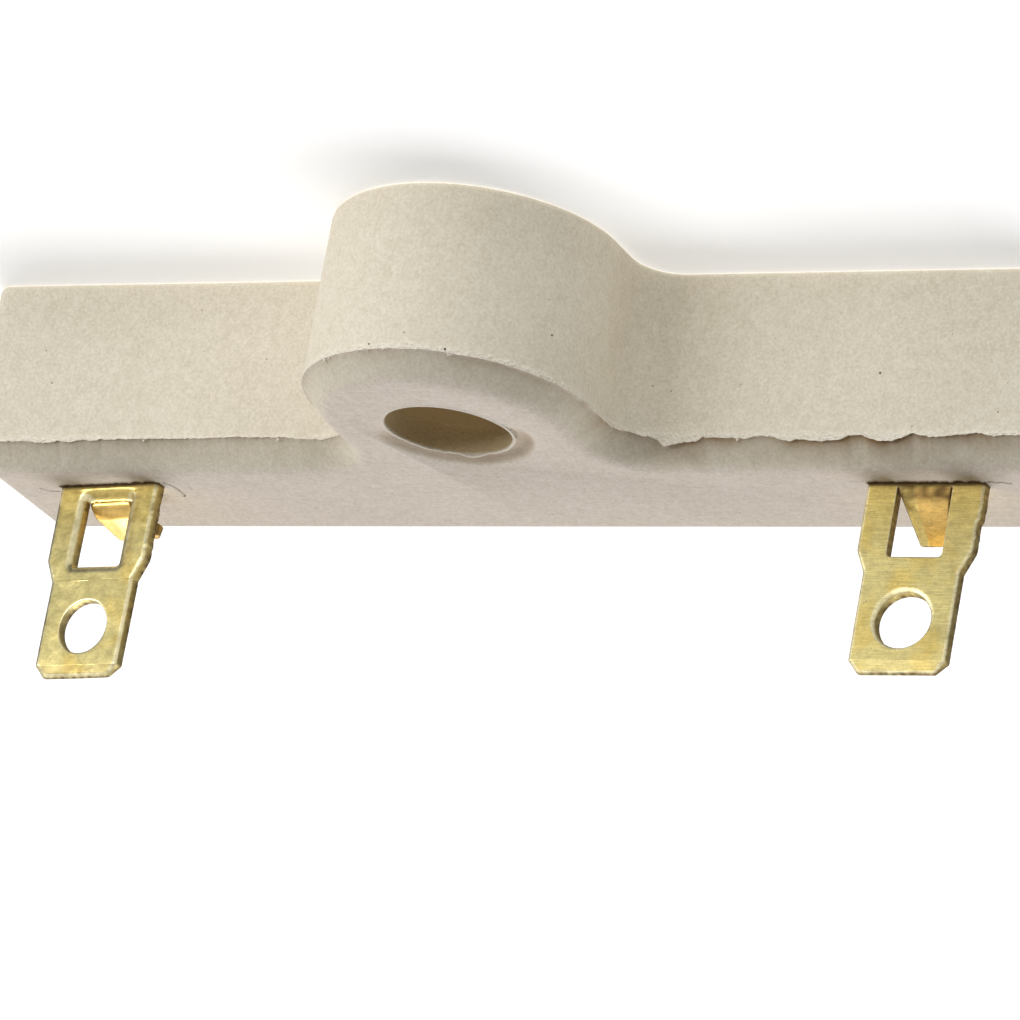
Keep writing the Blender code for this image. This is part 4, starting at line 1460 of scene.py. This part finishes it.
def edge_spots(rng):
    """Crumbs along the torn edge: thick on the lug's left shoulder, thin elsewhere."""
    base = block_ring(0.0)
    inner = block_ring(0.5 * MM)
    spots = []
    for index, (x, y) in enumerate(base):
        out = Vector((x - inner[index][0], y - inner[index][1], 0.0)).normalized()
        angle = math.degrees(math.atan2(y - BOLT_Y, x))
        on_shoulder = y < FRONT_Y - 0.3 * MM and -125 < angle < -20
        crusted = on_shoulder and -100 < angle < -55
        chance = 0.95 if crusted else 0.30 if on_shoulder else STRAY_CHANCE
        if rng.random() > chance:
            continue
        low = 0.55 if on_shoulder else 0.25
        z = HEIGHT - EDGE_BEVEL + rng.uniform(-low, 0.15) * MM
        place = Vector((x, y, z)) - out * CRUMB_SUNK
        spots.append((place, out, rng.uniform(0.35, 1.15)))
    return spots


def speck_spots(rng):
    """Dark mineral grains: those that show from the front, then a sparse scatter on every side."""
    front = Vector((0, -1, 0))
    up = Vector((0, 0, 1))
    seen = [
        (-25.86, 6.89, 1.3), (-34.3, 7.63, 1.1), (-33.93, 9.51, 0.9), (-28.5, 10.4, 0.9), (16.18, 5.91, 1.0),
        (32.08, 6.99, 1.2), (33.26, 8.45, 0.8), (-30.2, 4.4, 0.7), (21.3, 4.9, 0.7), (-19.4, 6.1, 0.6),
    ]
    spots = [(Vector((x * MM, FRONT_Y, z * MM)), front, size) for x, z, size in seen]
    lug_seen = [
        (-81.8, 10.72, 1.6), (-112.2, 10.87, 1.9), (-151.9, 8.2, 1.3), (-148.0, 6.1, 1.0), (172.0, 8.3, 1.5),
        (174.5, 6.3, 1.7), (-176.0, 9.9, 0.9),
    ]
    for angle, z, size in lug_seen:
        out = Vector((math.cos(math.radians(angle)), math.sin(math.radians(angle)), 0.0))
        spots.append((Vector((0, BOLT_Y, z * MM)) + out * LUG_RADIUS, out, size))
    spots.append((Vector((1.66, -11.8, 12.2)) * MM, Vector((0.0, -0.75, 0.66)), 1.5))
    for x, y, size in ((15.3, 8.45, 1.3), (19.0, 6.2, 0.8), (-8.1, 7.1, 0.9), (20.8, 6.1, 0.7), (-14.0, 9.3, 0.8)):
        spots.append((Vector((x * MM, y * MM, HEIGHT)), up, size))
    for _ in range(26):
        x = rng.uniform(-36, 36) * MM
        spots.append((Vector((x, BACK_Y, rng.uniform(1, 10.4) * MM)), -front, rng.uniform(0.5, 1.3)))
    for side in (1, -1):
        for _ in range(6):
            place = Vector((side * HALF_LENGTH, rng.uniform(2.4, 12.2) * MM, rng.uniform(1, 10.2) * MM))
            spots.append((place, Vector((side, 0, 0)), rng.uniform(0.5, 1.2)))
    for _ in range(16):
        x = rng.choice((-1, 1)) * rng.uniform(12.2, 36.5) * MM
        spots.append((Vector((x, FRONT_Y, rng.uniform(1, 10) * MM)), front, rng.uniform(0.3, 0.7)))
    for _ in range(18):
        place = Vector((rng.uniform(-21, 21) * MM, rng.uniform(3, 11.5) * MM, HEIGHT))
        spots.append((place, up, rng.uniform(0.3, 0.8)))
    return spots


class RESISTOR_OT_grit(bpy.types.Operator):
    """Scatters crumbs of torn ceramic along the mould edge and dark mineral specks over the block"""

    bl_idname = "resistor.grit"
    bl_label = "Crumbs and specks"

    def execute(self, context):
        settings = context.scene.resistor_crumbs
        rng = random.Random(settings.seed)
        ceramic = bpy.data.materials["fired ceramic"]
        jobs = [
            ("edge_crumbs", edge_spots(rng), 0.7, settings.crumb_size, ceramic),
            ("mineral_specks", speck_spots(rng), 0.25, settings.speck_size, speck_material()),
        ]
        for name, spots, flatten, size, material in jobs:
            values = {"Grain size": size, "Seed": settings.seed, "Material": material}
            grit = grown(name, point_mesh(name, spots), grit_tree(name.replace("_", " "), flatten), values)
            if not grit.data.polygons:
                raise RuntimeError(f"{name} came out empty")
            shade(grit.data, 30.0)
            finish_piece(grit, material, "ceramic")
        return {"FINISHED"}


# The studio


CAMERA_PLACE = (-0.18091, -0.33545, 0.14919)
CAMERA_RIGHT = (-0.89690, 0.41125, -0.16265)
CAMERA_UP = (-0.00033, -0.36841, -0.92966)
CAMERA_BACK = (-0.44225, -0.83375, 0.33056)
CAMERA_LENS = 230.66
FLOOR_HALF = 3.0

# Each lamp's place, the spot that it is turned to and its size
LAMPS = {
    "front": ((0.30, -0.42, 0.055), (0.0, 0.0, 0.008), (0.4, 0.1)),
    "back": ((0.06, 0.28, 0.46), (0.0, 0.005, 0.01), (0.6, 0.35)),
}


def add_lamp(name, place, target, size, power):
    data = bpy.data.lights.new(name, "AREA")
    data.shape = "RECTANGLE"
    data.size, data.size_y = size
    data.energy = power
    lamp = bpy.data.objects.new(name, data)
    lamp.location = place
    lamp.rotation_euler = (Vector(target) - Vector(place)).to_track_quat("-Z", "Y").to_euler()
    bpy.context.scene.collection.objects.link(lamp)


def floor_material(settings):
    """White to the camera with a soft shadow left in; what mirrors it sees it grey beside and behind the object."""
    material, tree = new_material("pale floor")
    position = object_place(tree)
    clouds = cloudy(position, 1 / 3.0, 2.0)
    tone = mixed(clouds, rgba(settings.floor_tone, 0.985), rgba(settings.floor_tone))
    path = put(tree, "ShaderNodeLightPath").outputs
    place_x, place_y, _ = parts(position)
    before = ramp(place_y, -38 * MM, -12 * MM, 1.0, 0.12)
    beside = ramp(place_x, -70 * MM, 70 * MM, 1.0, 0.6)
    mirrored = linear(path["Is Glossy Ray"], sums("SUBTRACT", times(before, beside), 1.0), 1.0)
    lift = linear(path["Is Diffuse Ray"], settings.glow - settings.lift, settings.lift)
    return set_shader(material, {
        "Base Color": scaled(tone, mirrored),
        "Roughness": 0.9,
        "Specular IOR Level": 0.1,
        "Emission Color": (1.0, 1.0, 1.0, 1.0),
        "Emission Strength": times(lift, mirrored),
    })


class RESISTOR_OT_stage(bpy.types.Operator):
    """Sets up the pale floor, the soft lamps, the world and the camera at the photograph's viewing angle"""

    bl_idname = "resistor.stage"
    bl_label = "Studio"

    def execute(self, context):
        settings = context.scene.resistor_stage
        scene = context.scene
        mesh = bpy.data.meshes.new("floor")
        mesh.from_pydata([(x, y, 0.0) for x, y in box_corners(FLOOR_HALF, FLOOR_HALF)], [], [(0, 1, 2, 3)])
        floor = new_piece("floor", mesh)
        mesh.materials.append(floor_material(settings))
        for word, power in (("front", settings.front_power), ("back", settings.back_power)):
            add_lamp(f"{word} lamp", *LAMPS[word], power)
        world = bpy.data.worlds.new("studio")
        world.use_nodes = True
        scene.world = world
        tree = world.node_tree
        shader = tree.nodes["Background"].inputs
        path = put(tree, "ShaderNodeLightPath").outputs
        seen = most(path["Is Camera Ray"], path["Is Transmission Ray"])
        shader["Color"].default_value = (1.0, 1.0, 1.0, 1.0)
        feed(tree, shader["Strength"], most(most(seen, times(path["Is Glossy Ray"], 0.8)), settings.ambient))
        data = bpy.data.cameras.new("camera")
        data.lens = CAMERA_LENS
        data.sensor_width = 36.0
        camera = bpy.data.objects.new("camera", data)
        axes = Matrix((CAMERA_RIGHT, CAMERA_UP, CAMERA_BACK)).transposed()
        camera.matrix_world = Matrix.Translation(CAMERA_PLACE) @ axes.to_4x4()
        scene.collection.objects.link(camera)
        scene.camera = camera
        scene.view_settings.view_transform = "Standard"
        return {"FINISHED"}


class RESISTOR_PT_panel(bpy.types.Panel):
    """Lists the pieces and their settings"""

    bl_idname = "RESISTOR_PT_panel"
    bl_label = "Ignition coil resistor"
    bl_space_type = "VIEW_3D"
    bl_region_type = "UI"
    bl_category = "Resistor"

    def draw(self, context):
        for operator, (holder, _) in zip(OPERATORS, SETTINGS.items()):
            box = self.layout.box()
            box.operator(operator.bl_idname)
            settings = getattr(context.scene, holder)
            for name in settings.bl_rna.properties.keys():
                if name not in ("rna_type", "name"):
                    box.prop(settings, name)


# Each operator and the settings that it works with, in the same order
OPERATORS = [
    RESISTOR_OT_block, RESISTOR_OT_cement, RESISTOR_OT_terminals, RESISTOR_OT_coil, RESISTOR_OT_grit,
    RESISTOR_OT_stage,
]
SETTINGS = {
    "resistor_ceramic": CeramicSettings,
    "resistor_cement": CementSettings,
    "resistor_terminal": TerminalSettings,
    "resistor_coil": CoilSettings,
    "resistor_crumbs": CrumbSettings,
    "resistor_stage": StageSettings,
}


def register():
    for kind in list(SETTINGS.values()) + OPERATORS + [RESISTOR_PT_panel]:
        bpy.utils.register_class(kind)
    for name, kind in SETTINGS.items():
        setattr(bpy.types.Scene, name, PointerProperty(type=kind))


def unregister():
    for name in SETTINGS:
        delattr(bpy.types.Scene, name)
    for kind in reversed(list(SETTINGS.values()) + OPERATORS + [RESISTOR_PT_panel]):
        bpy.utils.unregister_class(kind)


def main():
    register()
    bpy.ops.resistor.block()
    bpy.ops.resistor.cement()
    bpy.ops.resistor.terminals()
    bpy.ops.resistor.coil()
    bpy.ops.resistor.grit()
    bpy.ops.resistor.stage()


if __name__ == "__main__":
    main()
